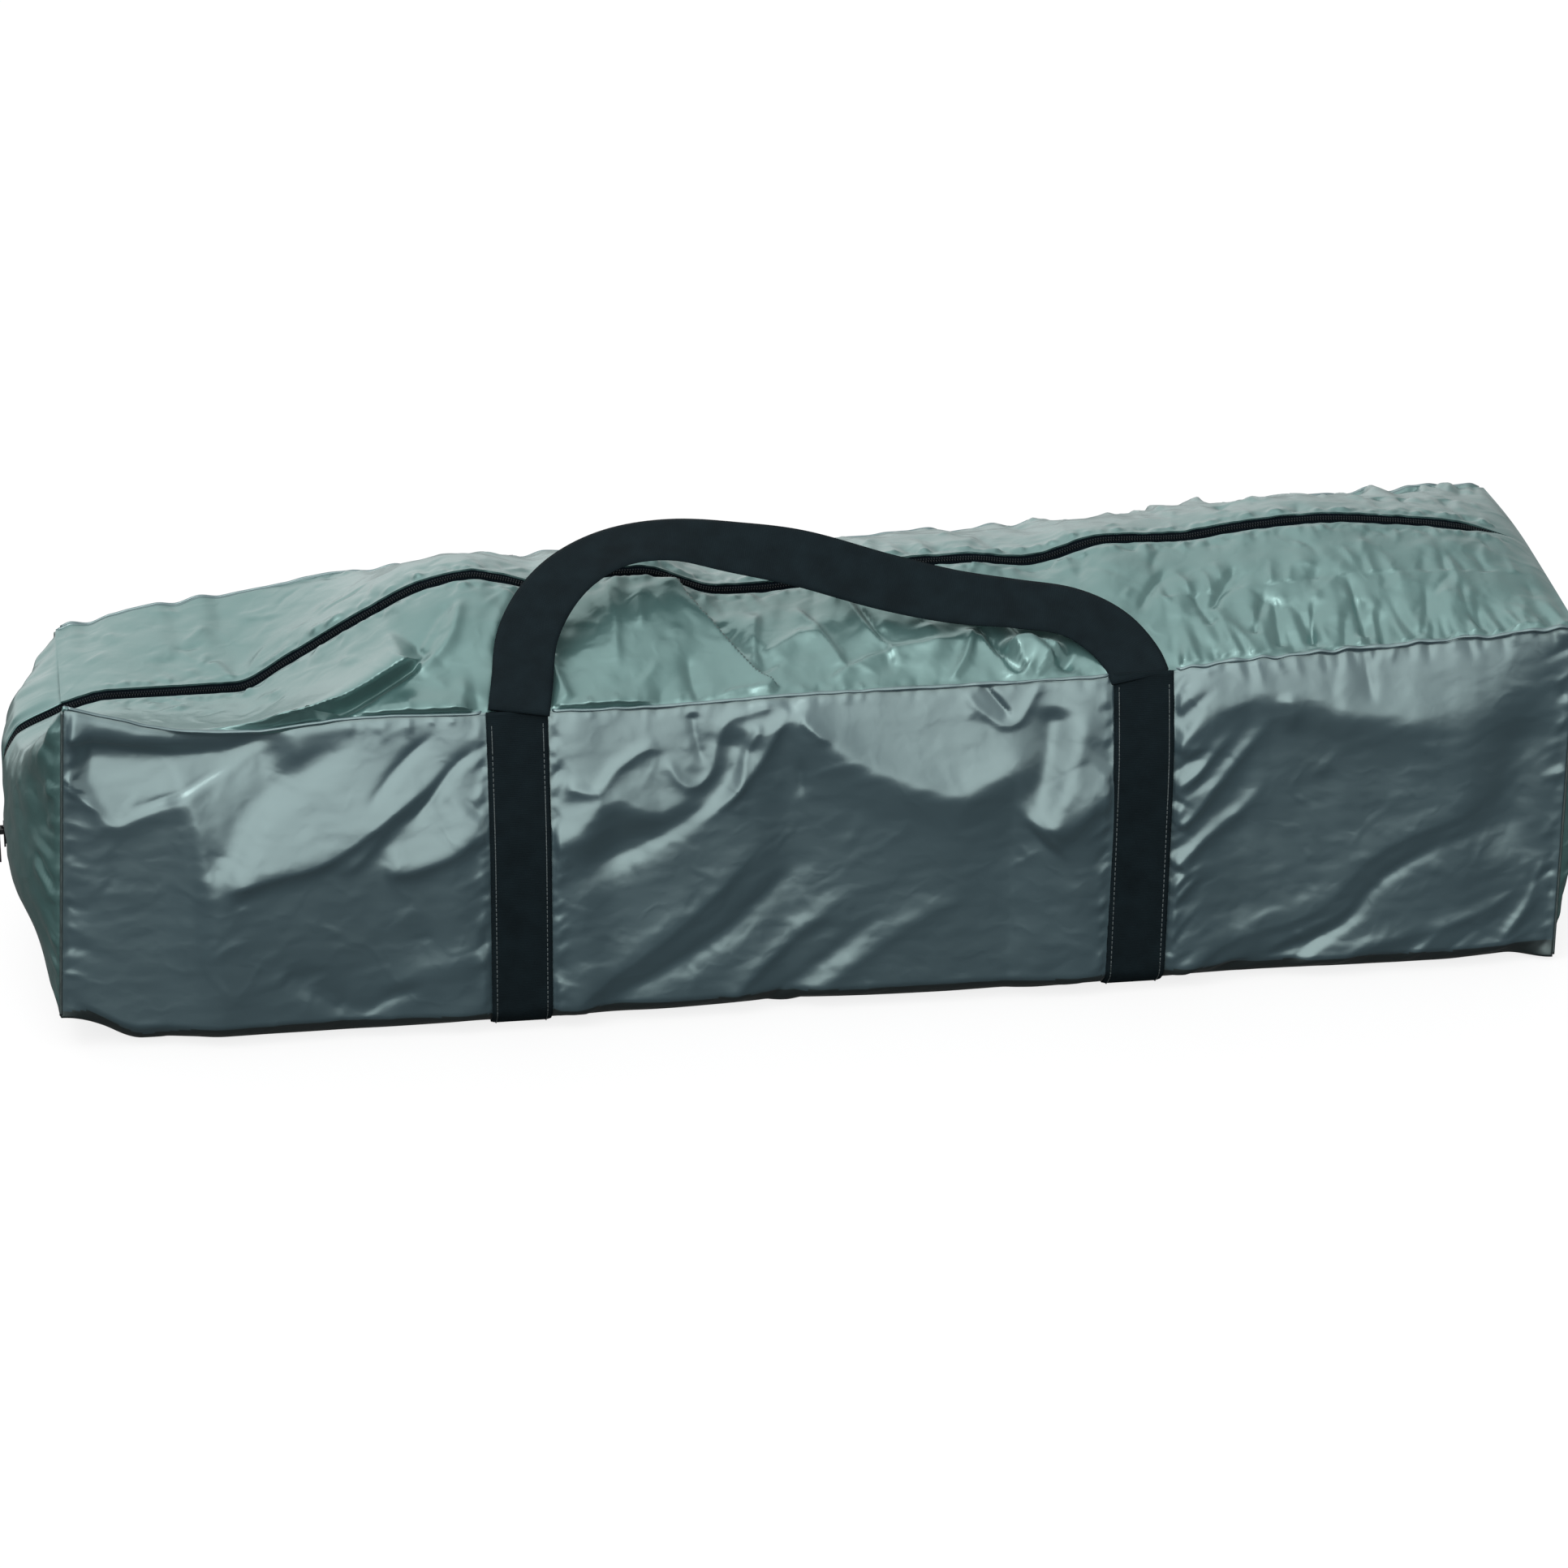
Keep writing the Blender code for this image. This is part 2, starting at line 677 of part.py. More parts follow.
def pull_tab(pin, metal):
    """A tab with an eye on the slider's pin. It hangs down along the slider."""
    sides = 16
    bore = PIN_RADIUS + GAP
    half_neck = PULL_NECK / 2
    rings = []
    for y, radius in ((-half_neck, EYE_RADIUS), (half_neck, EYE_RADIUS),
                      (half_neck, bore), (-half_neck, bore)):
        rings.append([
            pin + Vector((
                radius * math.cos(2 * math.pi * i / sides),
                y,
                radius * math.sin(2 * math.pi * i / sides),
            ))
            for i in range(sides)
        ])
    pull = make_object("zip_pull", lathe_mesh(rings, closed_loop=True), metal, pin)
    neck_top = pin.z - bore - GAP
    neck_foot = pin.z - EYE_RADIUS - PULL_NECK_LENGTH
    shoulder = neck_foot - PULL_SHOULDER
    foot = pin.z - PULL_LENGTH
    half = PULL_WIDTH / 2
    left_edge = [
        (-half_neck, neck_top), (-half_neck, neck_foot), (-half, shoulder),
        (-half, foot + PULL_CORNER), (-half + PULL_CORNER, foot),
    ]
    outline = left_edge + [(-y, z) for y, z in reversed(left_edge)]
    outer_x = pin.x - EYE_RADIUS
    points = [Vector((outer_x, y, z)) for y, z in outline]
    blade = make_guide("blade_guide", prism_mesh(points, Vector((PULL_THICKNESS, 0, 0))), metal)
    combine(pull, blade, "UNION")


def webbing_band(x, name, material):
    """A band sewn up the front, under the base and up the rear."""
    near, far = [], []
    heights = [WEBBING_THICKNESS + GAP]
    seam_foot = SEAM_HEIGHT - SEAM_CORD_RADIUS - GAP
    heights += [PANEL_FOOT + (seam_foot - PANEL_FOOT) * share for share in PANEL_HEIGHTS[1:-1]]
    heights.append(SEAM_HEIGHT - BAND_TOP_DROP)
    for side, order in ((FRONT, -1), (REAR, 1)):
        corner_y = side * (HALF_DEPTH + GAP)
        inside = [(corner_y, WEBBING_THICKNESS)]
        inside += [(panel_y(x, z, side) + side * GAP, z) for z in heights]
        outside = [(corner_y + side * WEBBING_THICKNESS, 0.0)]
        outside += [(y + side * WEBBING_THICKNESS, z) for y, z in inside[1:]]
        near += inside[::order]
        far += outside[::order]
    edges = (x - WEBBING_WIDTH / 2, x + WEBBING_WIDTH / 2)
    outer, inner = [[[Vector((edge, y, z)) for edge in edges] for y, z in line] for line in (far, near)]
    return slab(name, outer, inner, material)


def handle(side, lean, stands_out, material):
    """A webbing loop in a plane through its seam, at a lean above the bag's top."""
    angle = math.radians(lean)
    reach_way = Vector((0, -side * math.cos(angle), math.sin(angle)))
    normal = Vector((0, side * math.sin(angle), math.cos(angle)))
    start = hinge_point(side) + normal * stands_out
    knots = [
        start + Vector((place * BAND_SPACING / 2, 0, 0)) + reach_way * reach * HANDLE_REACH
        for place, reach in HANDLE_ROUTE
    ]
    route = smooth_route(knots, 4)
    outer, inner = [], []
    for i, point in enumerate(route):
        tangent = (route[min(i + 1, len(route) - 1)] - route[max(i - 1, 0)]).normalized()
        if i in (0, len(route) - 1):
            tangent = reach_way * (1 if i == 0 else -1)
        across = tangent.cross(normal) * (WEBBING_WIDTH / 2)
        lift = normal * (HANDLE_THICKNESS / 2)
        outer.append([point - across + lift, point + across + lift])
        inner.append([point - across - lift, point + across - lift])
    return slab(f"{SIDE_NAME[side]}_handle", outer, inner, material, hinge_point(side))


def packed_sizes():
    """Where the rolls lie: the fly under the ridge, the tent between it and the floor."""
    fly_x = [place * HALF_LENGTH for place in spread(*FLY_ENDS, 12)]
    lowest = min(ridge_z(x) for x in fly_x)
    fly_top = lowest - FABRIC - TAPE_DROP - TAPE_THICKNESS - PACKING_CLEARANCE
    fly_z = fly_top - FLY_RADIUS
    strap_room = STRAP_THICKNESS + 4 * GAP
    roll_low = FLOOR + strap_room
    roll_high = fly_z - FLY_RADIUS - strap_room
    return fly_z, (roll_low + roll_high) / 2, (roll_high - roll_low) / 2


def roll(name, centre, half_width, half_height, ends, material):
    """A rolled bundle with rounded ends, long in X."""
    rounding = ROLL_ROUNDING * half_height
    left, right = [end * HALF_LENGTH for end in ends]
    rings = [(left + rounding * share, scale) for share, scale in ROLL_END_PROFILE]
    rings += [(right - rounding * share, scale) for share, scale in reversed(ROLL_END_PROFILE)]
    loops = [
        ring_points(Vector((x, centre.y, centre.z)), scale, 20, half_width, half_height)
        for x, scale in rings
    ]
    make_object(name, lathe_mesh(loops), material)


def compression_strap(x, number, centre, half_height, webbing, plastic):
    """A strap round the tent roll, closed by a side-release buckle at the rear."""
    outward = STRAP_THICKNESS + GAP
    buckle_y = centre.y + ROLL_HALF_WIDTH + GAP + STRAP_THICKNESS + BUCKLE_THICKNESS / 2
    angles = spread(42, 318, 30)
    clear_of_chords = 1 / math.cos(math.radians((angles[1] - angles[0]) / 2))

    def on_roll(degrees, away):
        angle = math.radians(degrees)
        return Vector((
            0,
            centre.y + (ROLL_HALF_WIDTH * clear_of_chords + away) * math.cos(angle),
            centre.z + (half_height * clear_of_chords + away) * math.sin(angle),
        ))

    tail = BUCKLE_HALF_LENGTH + GAP + BUCKLE_FIT
    lead = [
        Vector((0, buckle_y, centre.z + tail)),
        Vector((0, buckle_y - BUCKLE_FIT, centre.z + tail + STRAP_LEAD)),
    ]
    half = STRAP_WIDTH / 2
    outer, inner = [], []
    for away, rows, shift in ((outward, outer, 0.5), (GAP, inner, -0.5)):
        nudge = Vector((0, shift * STRAP_THICKNESS, 0))
        line = [lead[0] + nudge, lead[1] + nudge]
        line += [on_roll(degrees, away) for degrees in angles]
        mirror = [Vector((0, p.y, 2 * centre.z - p.z)) for p in reversed(line[:2])]
        for point in [*line, *mirror]:
            rows.append([point + Vector((x + edge, 0, 0)) for edge in (-half, half)])
    slab(f"compression_strap_{number}", outer, inner, webbing)
    buckle(number, Vector((x, buckle_y, centre.z)), plastic)


def buckle(number, middle, plastic):
    """A socket, and a tongue whose two arms reach into it."""
    half_x, half_y = BUCKLE_WIDTH / 2, BUCKLE_THICKNESS / 2
    low = middle + Vector((-half_x, -half_y, GAP))
    high = middle + Vector((half_x, half_y, BUCKLE_HALF_LENGTH))
    socket = make_object(f"buckle_socket_{number}", box_mesh(low, high), plastic)
    wall = BUCKLE_WALL
    low = middle + Vector((-half_x + wall, -half_y + wall, -BUCKLE_FIT))
    high = middle + Vector((half_x - wall, half_y - wall, TONGUE_LENGTH + 2 * GAP))
    combine(socket, make_guide(f"socket_guide_{number}", box_mesh(low, high), plastic), "DIFFERENCE")
    slack = wall + 2 * GAP
    edge = half_x - slack
    right_side = [
        (half_x, -BUCKLE_HALF_LENGTH), (half_x, -GAP), (edge, -GAP),
        (edge, TONGUE_LENGTH - TONGUE_POINT), (edge - TONGUE_POINT, TONGUE_LENGTH),
        (edge - TONGUE_ARM, TONGUE_LENGTH - TONGUE_HOOK), (edge - TONGUE_ARM, -GAP),
    ]
    outline = right_side + [(-px, pz) for px, pz in reversed(right_side)]
    thick = BUCKLE_THICKNESS - 2 * slack
    points = [middle + Vector((px, -thick / 2, pz)) for px, pz in outline]
    make_object(f"buckle_tongue_{number}", prism_mesh(points, Vector((0, thick, 0))), plastic)


def sleeve(name, centre, radius_y, radius_z, ends, sides, material):
    """A stuff bag round the X direction: closed on the left, open on the right."""
    wall = SLEEVE_WALL
    start, stop = ends
    gathered = 0.4 * radius_z

    def ring(x, inset):
        return ring_points(
            Vector((x, centre.y, centre.z)), 1.0, sides, radius_y - inset, radius_z - inset
        )

    rings = [
        ring(start, gathered), ring(start + SLEEVE_ROUNDING, 0.0), ring(stop, 0.0),
        ring(stop, wall), ring(start + SLEEVE_ROUNDING, wall), ring(start + wall, gathered + wall),
    ]
    make_object(name, lathe_mesh(rings), material)


def pole_places(centre):
    """The folded sections of the two poles, side by side in two layers."""
    for pole, level in (("a", -0.5), ("b", 0.5)):
        for section in range(POLE_SECTIONS):
            offset = section - (POLE_SECTIONS - 1) / 2
            yield pole, section, Vector((0, centre.y + offset * POLE_PITCH,
                                         centre.z + level * POLE_PITCH))


def tube(name, place, ends, radius, bore, sides, material):
    """A straight open tube in the X direction."""
    low, high = ends
    corners = ((low, radius), (high, radius), (high, bore), (low, bore))
    rings = [ring_points(Vector((x, place.y, place.z)), size, sides) for x, size in corners]
    make_object(name, lathe_mesh(rings, closed_loop=True), material)


def poles(centre, fibreglass, steel, elastic):
    half = POLE_LENGTH / 2
    bore = POLE_RADIUS + GAP
    routes = {"a": [], "b": []}
    for pole, section, place in pole_places(centre):
        name = f"pole_{pole}_section_{section + 1}"
        tube(name, place, (-half, half), POLE_RADIUS, POLE_BORE, 10, fibreglass)
        way = 1 if section % 2 == 0 else -1
        if section < POLE_SECTIONS - 1:
            ends = (way * half - FERRULE_LENGTH / 2, way * half + FERRULE_LENGTH / 2)
            tube(f"ferrule_{pole}_{section + 1}", place, ends, bore + FERRULE_WALL, bore, 12, steel)
        tied = half - FERRULE_LENGTH / 4
        routes[pole] += [place + Vector((-way * tied, 0, 0)), place + Vector((way * half, 0, 0))]
    for pole, stops in routes.items():
        cord_tube(f"shock_cord_{pole}", shock_route(stops), SHOCK_CORD_RADIUS, elastic, 1)


def shock_route(stops):
    """Through each section in turn, with a round turn from one to the next."""
    route = []
    half_pitch = POLE_PITCH / 2
    beyond = FERRULE_LENGTH / 2 + 2 * SHOCK_CORD_KNOT
    for index in range(0, len(stops), 2):
        start, stop = stops[index], stops[index + 1]
        way = 1 if stop.x > start.x else -1
        if index:
            start = Vector((-way * POLE_LENGTH / 2, start.y, start.z))
        last = index + 2 == len(stops)
        reach = Vector((-way * SHOCK_CORD_KNOT if last else way * beyond, 0, 0))
        route += [start, start.lerp(stop, 0.5), stop + reach]
        if last:
            continue
        for degrees in (30, 60, 90, 120, 150, 180):
            angle = math.radians(degrees)
            route.append(stop + reach + Vector((
                way * half_pitch * math.sin(angle), half_pitch * (1 - math.cos(angle)), 0
            )))
    return route


def pegs(centre, start, steel):
    """Hooked wire pegs, stacked one above another."""
    for number in range(PEG_COUNT):
        z = centre.z + (number - (PEG_COUNT - 1) / 2) * PEG_PITCH
        low_y = centre.y - PEG_HOOK_RADIUS
        route = [Vector((start + PEG_LENGTH * share, low_y, z)) for share in (0, 0.5, 1.0)]
        for degrees in (36, 72, 108, 144, 180):
            angle = math.radians(degrees)
            route.append(Vector((
                start + PEG_LENGTH + PEG_HOOK_RADIUS * math.sin(angle),
                centre.y - PEG_HOOK_RADIUS * math.cos(angle),
                z,
            )))
        route.append(Vector((start + PEG_LENGTH - PEG_HOOK_LENGTH, centre.y + PEG_HOOK_RADIUS, z)))
        cord_tube(f"peg_{number + 1}", route, PEG_RADIUS, steel, 1)


def pack_rolls(nylon, tent_cloth, webbing, plastic):
    fly_z, roll_z, roll_half = packed_sizes()
    roll_y = HALF_DEPTH - FABRIC - REAR_ROOM - ROLL_HALF_WIDTH
    middle = Vector((0, roll_y, roll_z))
    roll("tent_body_roll", middle, ROLL_HALF_WIDTH, roll_half, ROLL_ENDS, tent_cloth)
    roll("rainfly_roll", Vector((0, 0, fly_z)), FLY_RADIUS, FLY_RADIUS, FLY_ENDS, nylon)
    for number, way in ((1, LEFT), (2, RIGHT)):
        compression_strap(way * STRAP_SPACING / 2, number, middle, roll_half, webbing, plastic)


def pack_poles_and_pegs(nylon, fibreglass, steel, elastic):
    """The pole bag lies on the base behind the front panel, and the peg bag on it."""
    bundle = math.hypot((POLE_SECTIONS - 1) / 2 * POLE_PITCH, POLE_PITCH / 2)
    bundle += POLE_RADIUS + GAP + FERRULE_WALL
    radius = bundle + SLEEVE_WALL + 2 * GAP
    front_face = -HALF_DEPTH + FABRIC + PACKING_CLEARANCE
    pole_centre = Vector((0, front_face + radius, FLOOR + radius))
    reach = POLE_LENGTH / 2 + FERRULE_LENGTH / 2 + POLE_PITCH
    ends = (-reach - SLEEVE_END_SLACK, reach + POLE_MOUTH)
    sleeve("pole_bag", pole_centre, radius, radius, ends, 20, nylon)
    poles(pole_centre, fibreglass, steel, elastic)

    half_width = PEG_HOOK_RADIUS + PEG_RADIUS + SLEEVE_WALL + PEG_BAG_SLACK
    half_height = PEG_COUNT * PEG_PITCH / 2 + SLEEVE_WALL + PEG_BAG_SLACK
    peg_start = -PEG_LENGTH - PEG_BAG_FROM_MIDDLE
    peg_stop = peg_start + PEG_LENGTH + PEG_HOOK_RADIUS
    peg_centre = Vector((
        0, front_face + half_width,
        pole_centre.z + radius + PACKING_CLEARANCE + half_height,
    ))
    ends = (peg_start - 2 * SLEEVE_END_SLACK, peg_stop + PEG_MOUTH)
    sleeve("peg_bag", peg_centre, half_width, half_height, ends, 16, nylon)
    pegs(peg_centre, peg_start, steel)


def main():
    clear_scene()
    fabric = principled("bag_fabric", (0.105, 0.135, 0.145), 0.38)
    top_fabric = principled("top_fabric", (0.20, 0.28, 0.27), 0.40)
    webbing = principled("webbing", (0.010, 0.014, 0.017), 0.62)
    tape = principled("zip_tape", (0.012, 0.014, 0.017), 0.70)
    coil = principled("zip_coil", (0.016, 0.018, 0.022), 0.35)
    black_metal = principled("black_metal", (0.02, 0.02, 0.022), 0.35, 0.9)
    nylon = principled("packed_nylon", (0.16, 0.21, 0.21), 0.45)
    tent_cloth = principled("packed_cloth", (0.30, 0.31, 0.30), 0.75)
    strap = principled("strap_webbing", (0.012, 0.014, 0.017), 0.70)
    plastic = principled("buckle_plastic", (0.02, 0.02, 0.02), 0.45)
    fibreglass = principled("fibreglass", (0.05, 0.05, 0.055), 0.30)
    steel = principled("steel", (0.58, 0.58, 0.58), 0.30, 1.0)
    elastic = principled("elastic", (0.03, 0.03, 0.03), 0.80)

    base_panel(fabric)
    for side in (FRONT, REAR):
        long_panel(side, fabric)
        top_seam(side, fabric)
        moving_top(side, top_fabric, tape, coil)
        for end in (LEFT, RIGHT):
            corner_gusset(side, end, top_fabric)
    for end in (LEFT, RIGHT):
        end_panel(end, fabric)
        webbing_band(end * BAND_SPACING / 2, f"webbing_band_{END_NAME[end]}", webbing)
    left_zip(tape, coil, black_metal)
    right_zip(tape, coil, black_metal)
    pull_tab(slider(black_metal), black_metal)
    handle(FRONT, HANDLE_LEAN, 0.0, webbing)
    handle(REAR, REAR_HANDLE_LEAN, -REAR_HANDLE_STANDS_OUT, webbing)
    pack_rolls(nylon, tent_cloth, strap, plastic)
    pack_poles_and_pegs(nylon, fibreglass, steel, elastic)


main()
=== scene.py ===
"""The looks of a cot tent packed in its zipped carry bag: crumpled coated nylon over
the rolled tent, black webbing bands and handles, and a coil zip along the top.

Metres, +Z up. The origin is on the floor under the middle of the bag, +X runs along
the bag to its right end, and the front panel faces -Y.
"""

import math
import random

import bmesh
import bpy
import numpy as np
from mathutils import Matrix, Vector


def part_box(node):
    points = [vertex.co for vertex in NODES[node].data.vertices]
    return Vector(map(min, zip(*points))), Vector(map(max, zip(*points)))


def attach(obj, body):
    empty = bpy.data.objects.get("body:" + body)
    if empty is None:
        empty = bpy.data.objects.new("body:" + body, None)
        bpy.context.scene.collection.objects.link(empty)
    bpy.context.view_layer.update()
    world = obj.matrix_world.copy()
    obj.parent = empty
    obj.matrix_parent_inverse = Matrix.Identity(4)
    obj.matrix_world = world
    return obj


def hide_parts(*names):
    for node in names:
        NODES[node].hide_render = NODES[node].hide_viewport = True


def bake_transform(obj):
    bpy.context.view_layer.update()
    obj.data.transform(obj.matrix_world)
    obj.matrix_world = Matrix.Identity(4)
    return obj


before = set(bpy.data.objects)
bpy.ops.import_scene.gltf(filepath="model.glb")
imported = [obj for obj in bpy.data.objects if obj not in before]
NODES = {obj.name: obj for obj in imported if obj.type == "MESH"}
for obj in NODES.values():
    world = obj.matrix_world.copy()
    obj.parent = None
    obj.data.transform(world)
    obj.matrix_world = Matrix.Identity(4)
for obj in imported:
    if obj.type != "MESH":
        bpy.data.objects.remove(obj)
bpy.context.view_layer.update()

FRONT = -1
REAR = 1
LEFT = -1
RIGHT = 1
SIDE_NAME = {FRONT: "front", REAR: "rear"}
END_NAME = {LEFT: "left", RIGHT: "right"}

# The bag's main sizes
HALF_LENGTH = 0.470
HALF_DEPTH = 0.1175
SEAM_HEIGHT = 0.219
HINGE_Y = 0.1195
FABRIC = 0.0012
STEP = 0.0016
FLOOR_LIFT = 0.0024
CORNER_LIFT = 0.022
LIFT_LENGTH = 0.045
FLARE = 0.011
FLARE_LENGTH = 0.10
KNEE_DEPTH = 0.022
KNEE_SLOPE = 0.26
KNEE_ROUND = 0.0016
FOOT_PULL = 0.45
LIP_REACH = 0.02
FOOT_TUCK = 0.012
FOOT_TUCK_HEIGHT = 0.014
FOOT_TUCK_RUN = 0.03
REAR_BULGE = 0.010
BULGE_FADE = 0.07
END_BULGE = {LEFT: 0.038, RIGHT: 0.030}
END_ROUND = 0.6
# Painted shade: the walls are coloured near-black up to this height above the floor, lower at the lifted
# left corner
FOOT_SHADE_HEIGHT = 0.0115
LEAST_FOOT_SHADE = 0.35
FOOT_SHADE_START = -0.44
FOOT_SHADE_RUN = 0.05

# Scallops of the two long seams: height in metres, width in millimetres, and a seed
SCALLOPS = {FRONT: (0.0015, 9.0, 6), REAR: (0.0028, 14.0, 8)}
GATHER_START = 0.17
GATHER_RUN = 0.08
SCALLOP_FADE = 0.01

# How near to its edges a panel's folds fade out
SEAM_FADE = 0.003
CORNER_FADE = 0.005
FOOT_FADE = 0.010
END_PANEL_FADE = 0.006
SLOT_FADE = 0.008
SEAM_GROOVE = 0.0010
SEAM_GROOVE_WIDTH = 0.004
SEAM_GROOVE_FADE = 0.001

# The top's fabric beside the zip: its edge wanders, and its folds keep above the tape
EDGE_WANDER = 0.0007
EDGE_WANDER_WIDTH = 7.0
EDGE_WANDER_START = -0.30
EDGE_WANDER_RUN = 0.1
EDGE_WANDER_DEPTH = 0.1
EDGE_WANDER_SLOT = 0.002
DEEPEST_FOLD = 0.0003
DEEPER_PER_METRE = 0.4
SHALLOW_RUN = 0.004
OVERHANG_SINK = 0.15

# Seam cords and the gussets inside the long seams
SEAM_CORD = 0.0011
SEAM_CORD_SWELL = 0.0005
SEAM_CORD_SWELL_WIDTH = 9.0
SWELL_START = -0.1
SWELL_RUN = 0.3
SEAM_CORD_OUT = 0.0004
SEAM_CORD_INSET = 0.006
LEAST_SEAM_CORD = 0.25
CORNER_CORD = 0.0009
CORNER_CORD_OUT = 0.0003
CORNER_CORD_RUN = (0.01, 0.985)
CORD_SIDES = 8
GUSSET_ROW = 8
GUSSET_ROWS = 6
GUSSET_SAG = 0.0015
GUSSET_CLOTH = 0.0005
GUSSET_DROP = 0.0010
GUSSET_GAP = 0.0002
GUSSET_INSET = 0.0003
PATH_POINTS = 120
WELD = 0.00005

# Webbing
WEBBING_WIDTH = 0.038
WEBBING_THICKNESS = 0.0018
HANDLE_THICKNESS = 0.0024
STRAP_COLUMNS = 15
STRAP_SQUARENESS = 16
STRAP_EDGE = 0.25
BAND_PLACES = (-0.195, 0.195)
REAR_BAND_TOP = 0.955
BAND_REACH = 0.0014
BAND_GAP = 0.0002
BAND_OVERLAP = 0.001
BAND_MARGIN = 0.006
BAND_SWELL = 2.4
BAND_SWELL_WIDTH = 0.016
BAND_SWELL_PLACE = 0.018
BAND_STEP = 0.0025
STITCH_SIZE = (0.0026, 0.00045, 0.00035)
STITCH_PITCH = 0.0036
STITCH_ROW = 0.0158
STITCH_SINK = 0.0001
HANDLE_STEP = 0.004
HANDLE_START = {FRONT: -0.0015, REAR: 0.007}
HANDLE_LEAN = {FRONT: math.radians(35), REAR: math.radians(-96.5)}

# Zip
SLOT_HALF = 0.0082
SLOT_TAPER = 0.045
SLOT_NUBS = 0.0004
SLOT_OVERLAP = 0.001
TAPE_EDGE = 0.0115
TAPE_INNER = 0.0006
TAPE_CLOTH = 0.0004
TAPE_DROOP = 0.0002
TAPE_ROWS = 5
ZIP_TOP_POINTS = 700
ZIP_END_POINTS = 400
ZIP_SMOOTHING = 6
COIL_INNER = 0.0004
COIL_OUTER = 0.0031
COIL_PITCH = 0.0017
COIL_HEIGHT = 0.0011
COIL_SINK = 0.0003
TOOTH_SHARE = 0.38
ZIP_FOOT = 0.083
ZIP_RIGHT_END = 0.4610
ZONE_OVERLAP = 0.0005

# Places along the bag that bound each top half's middle piece, which turns with its flap: the second of
# each pair; the first is not used
TURN_LEFT = (-0.440, -0.270)
TURN_RIGHT = (0.425, 0.200)
ZONES = (
    ("left", -1.0, TURN_LEFT[1]),
    ("middle", TURN_LEFT[1], TURN_RIGHT[1]),
    ("right", TURN_RIGHT[1], 1.0),
)

# What the bag holds
ROLL_WRINKLE = 0.004
ROLL_SIDES = 72
ROLL_RINGS = 150
ROLL_FILL = 0.985
ROLL_LAP = 0.035
ROLL_SPIRAL = 0.0045
ROLL_END_OUT = 0.002
ROLL_END_STEPS = 16
SLEEVE_SIDES = 60
SLEEVE_CLOTH = 0.0006
SLEEVE_WRINKLE = 0.0008
SLEEVE_RINGS = 160
SLEEVE_PLEATS = 15
SLEEVE_PLEAT_DEPTH = 0.07
SLEEVE_MOUTH = 0.03
STRAP_SIDES = 96
ROLL_STRAP_CLOTH = 0.0016

# Colours of the cloths, the straps and the hard parts
BAG_COLOUR = (0.043, 0.072, 0.086)
# Painted light: the top is the bag's own fabric, made lighter and greener here for the light that falls
# on it from above
LIT_TOP_COLOUR = (0.045, 0.094, 0.092)
# Painted shade: the near-black of the base and of the foot of the walls
FOOT_SHADE_COLOUR = (0.006, 0.009, 0.011)
PACKED_CLOTH_COLOUR = (0.30, 0.31, 0.30)
PACKED_NYLON_COLOUR = (0.16, 0.21, 0.21)
WEBBING_COLOUR = (0.0050, 0.0100, 0.0125)
STRAP_COLOUR = (0.008, 0.009, 0.011)
THREAD_COLOUR = (0.085, 0.105, 0.108)
TAPE_COLOUR = (0.0030, 0.0050, 0.0070)
COIL_COLOUR = (0.0050, 0.0080, 0.0100)
ENAMEL_COLOUR = (0.018, 0.019, 0.021)
STOP_COLOUR = (0.03, 0.03, 0.032)
BUCKLE_COLOUR = (0.020, 0.020, 0.022)
POLE_COLOUR = (0.05, 0.05, 0.055)
STEEL_COLOUR = (0.58, 0.58, 0.56)
ELASTIC_COLOUR = (0.03, 0.03, 0.032)
BAG_GLOSS = (0.78, 1.0, 0.97)
# Painted light: a greener reflection tint for the lit top
LIT_TOP_GLOSS = (0.69, 1.0, 0.96)

# The studio: brightness of the sky by direction, and the camera
GROUND_LIGHT = 0.035
FRONT_SKY = 2.25
REAR_SKY = 1.35
ZENITH_SKY = 1.0
RIGHT_SKY = 0.30
LEFT_SKY = 0.18
KEY_POWER = 14
KEY_SIZE = (1.2, 0.9)
KEY_PLACE = Vector((-1.4, -1.0, 2.4))
KEY_TARGET = Vector((0, 0, 0.15))
FLOOR_HALF = 6.0
FLOOR_DROP = 0.0005
FLOOR_SEEN = 0.92
FLOOR_LIT = 0.12
FLOOR_GLOW = 0.80
CAMERA_YAW = math.radians(-8.2386)
CAMERA_PITCH = math.radians(26.5027)
CAMERA_ROLL = math.radians(-0.4221)
CAMERA_LENS = 133.64
CAMERA_SENSOR = 36.0
CAMERA_DISTANCE = 3.7385
CAMERA_FAR = 50.0
CAMERA_TARGET = Vector((-0.01252, 0.0, 0.09881))

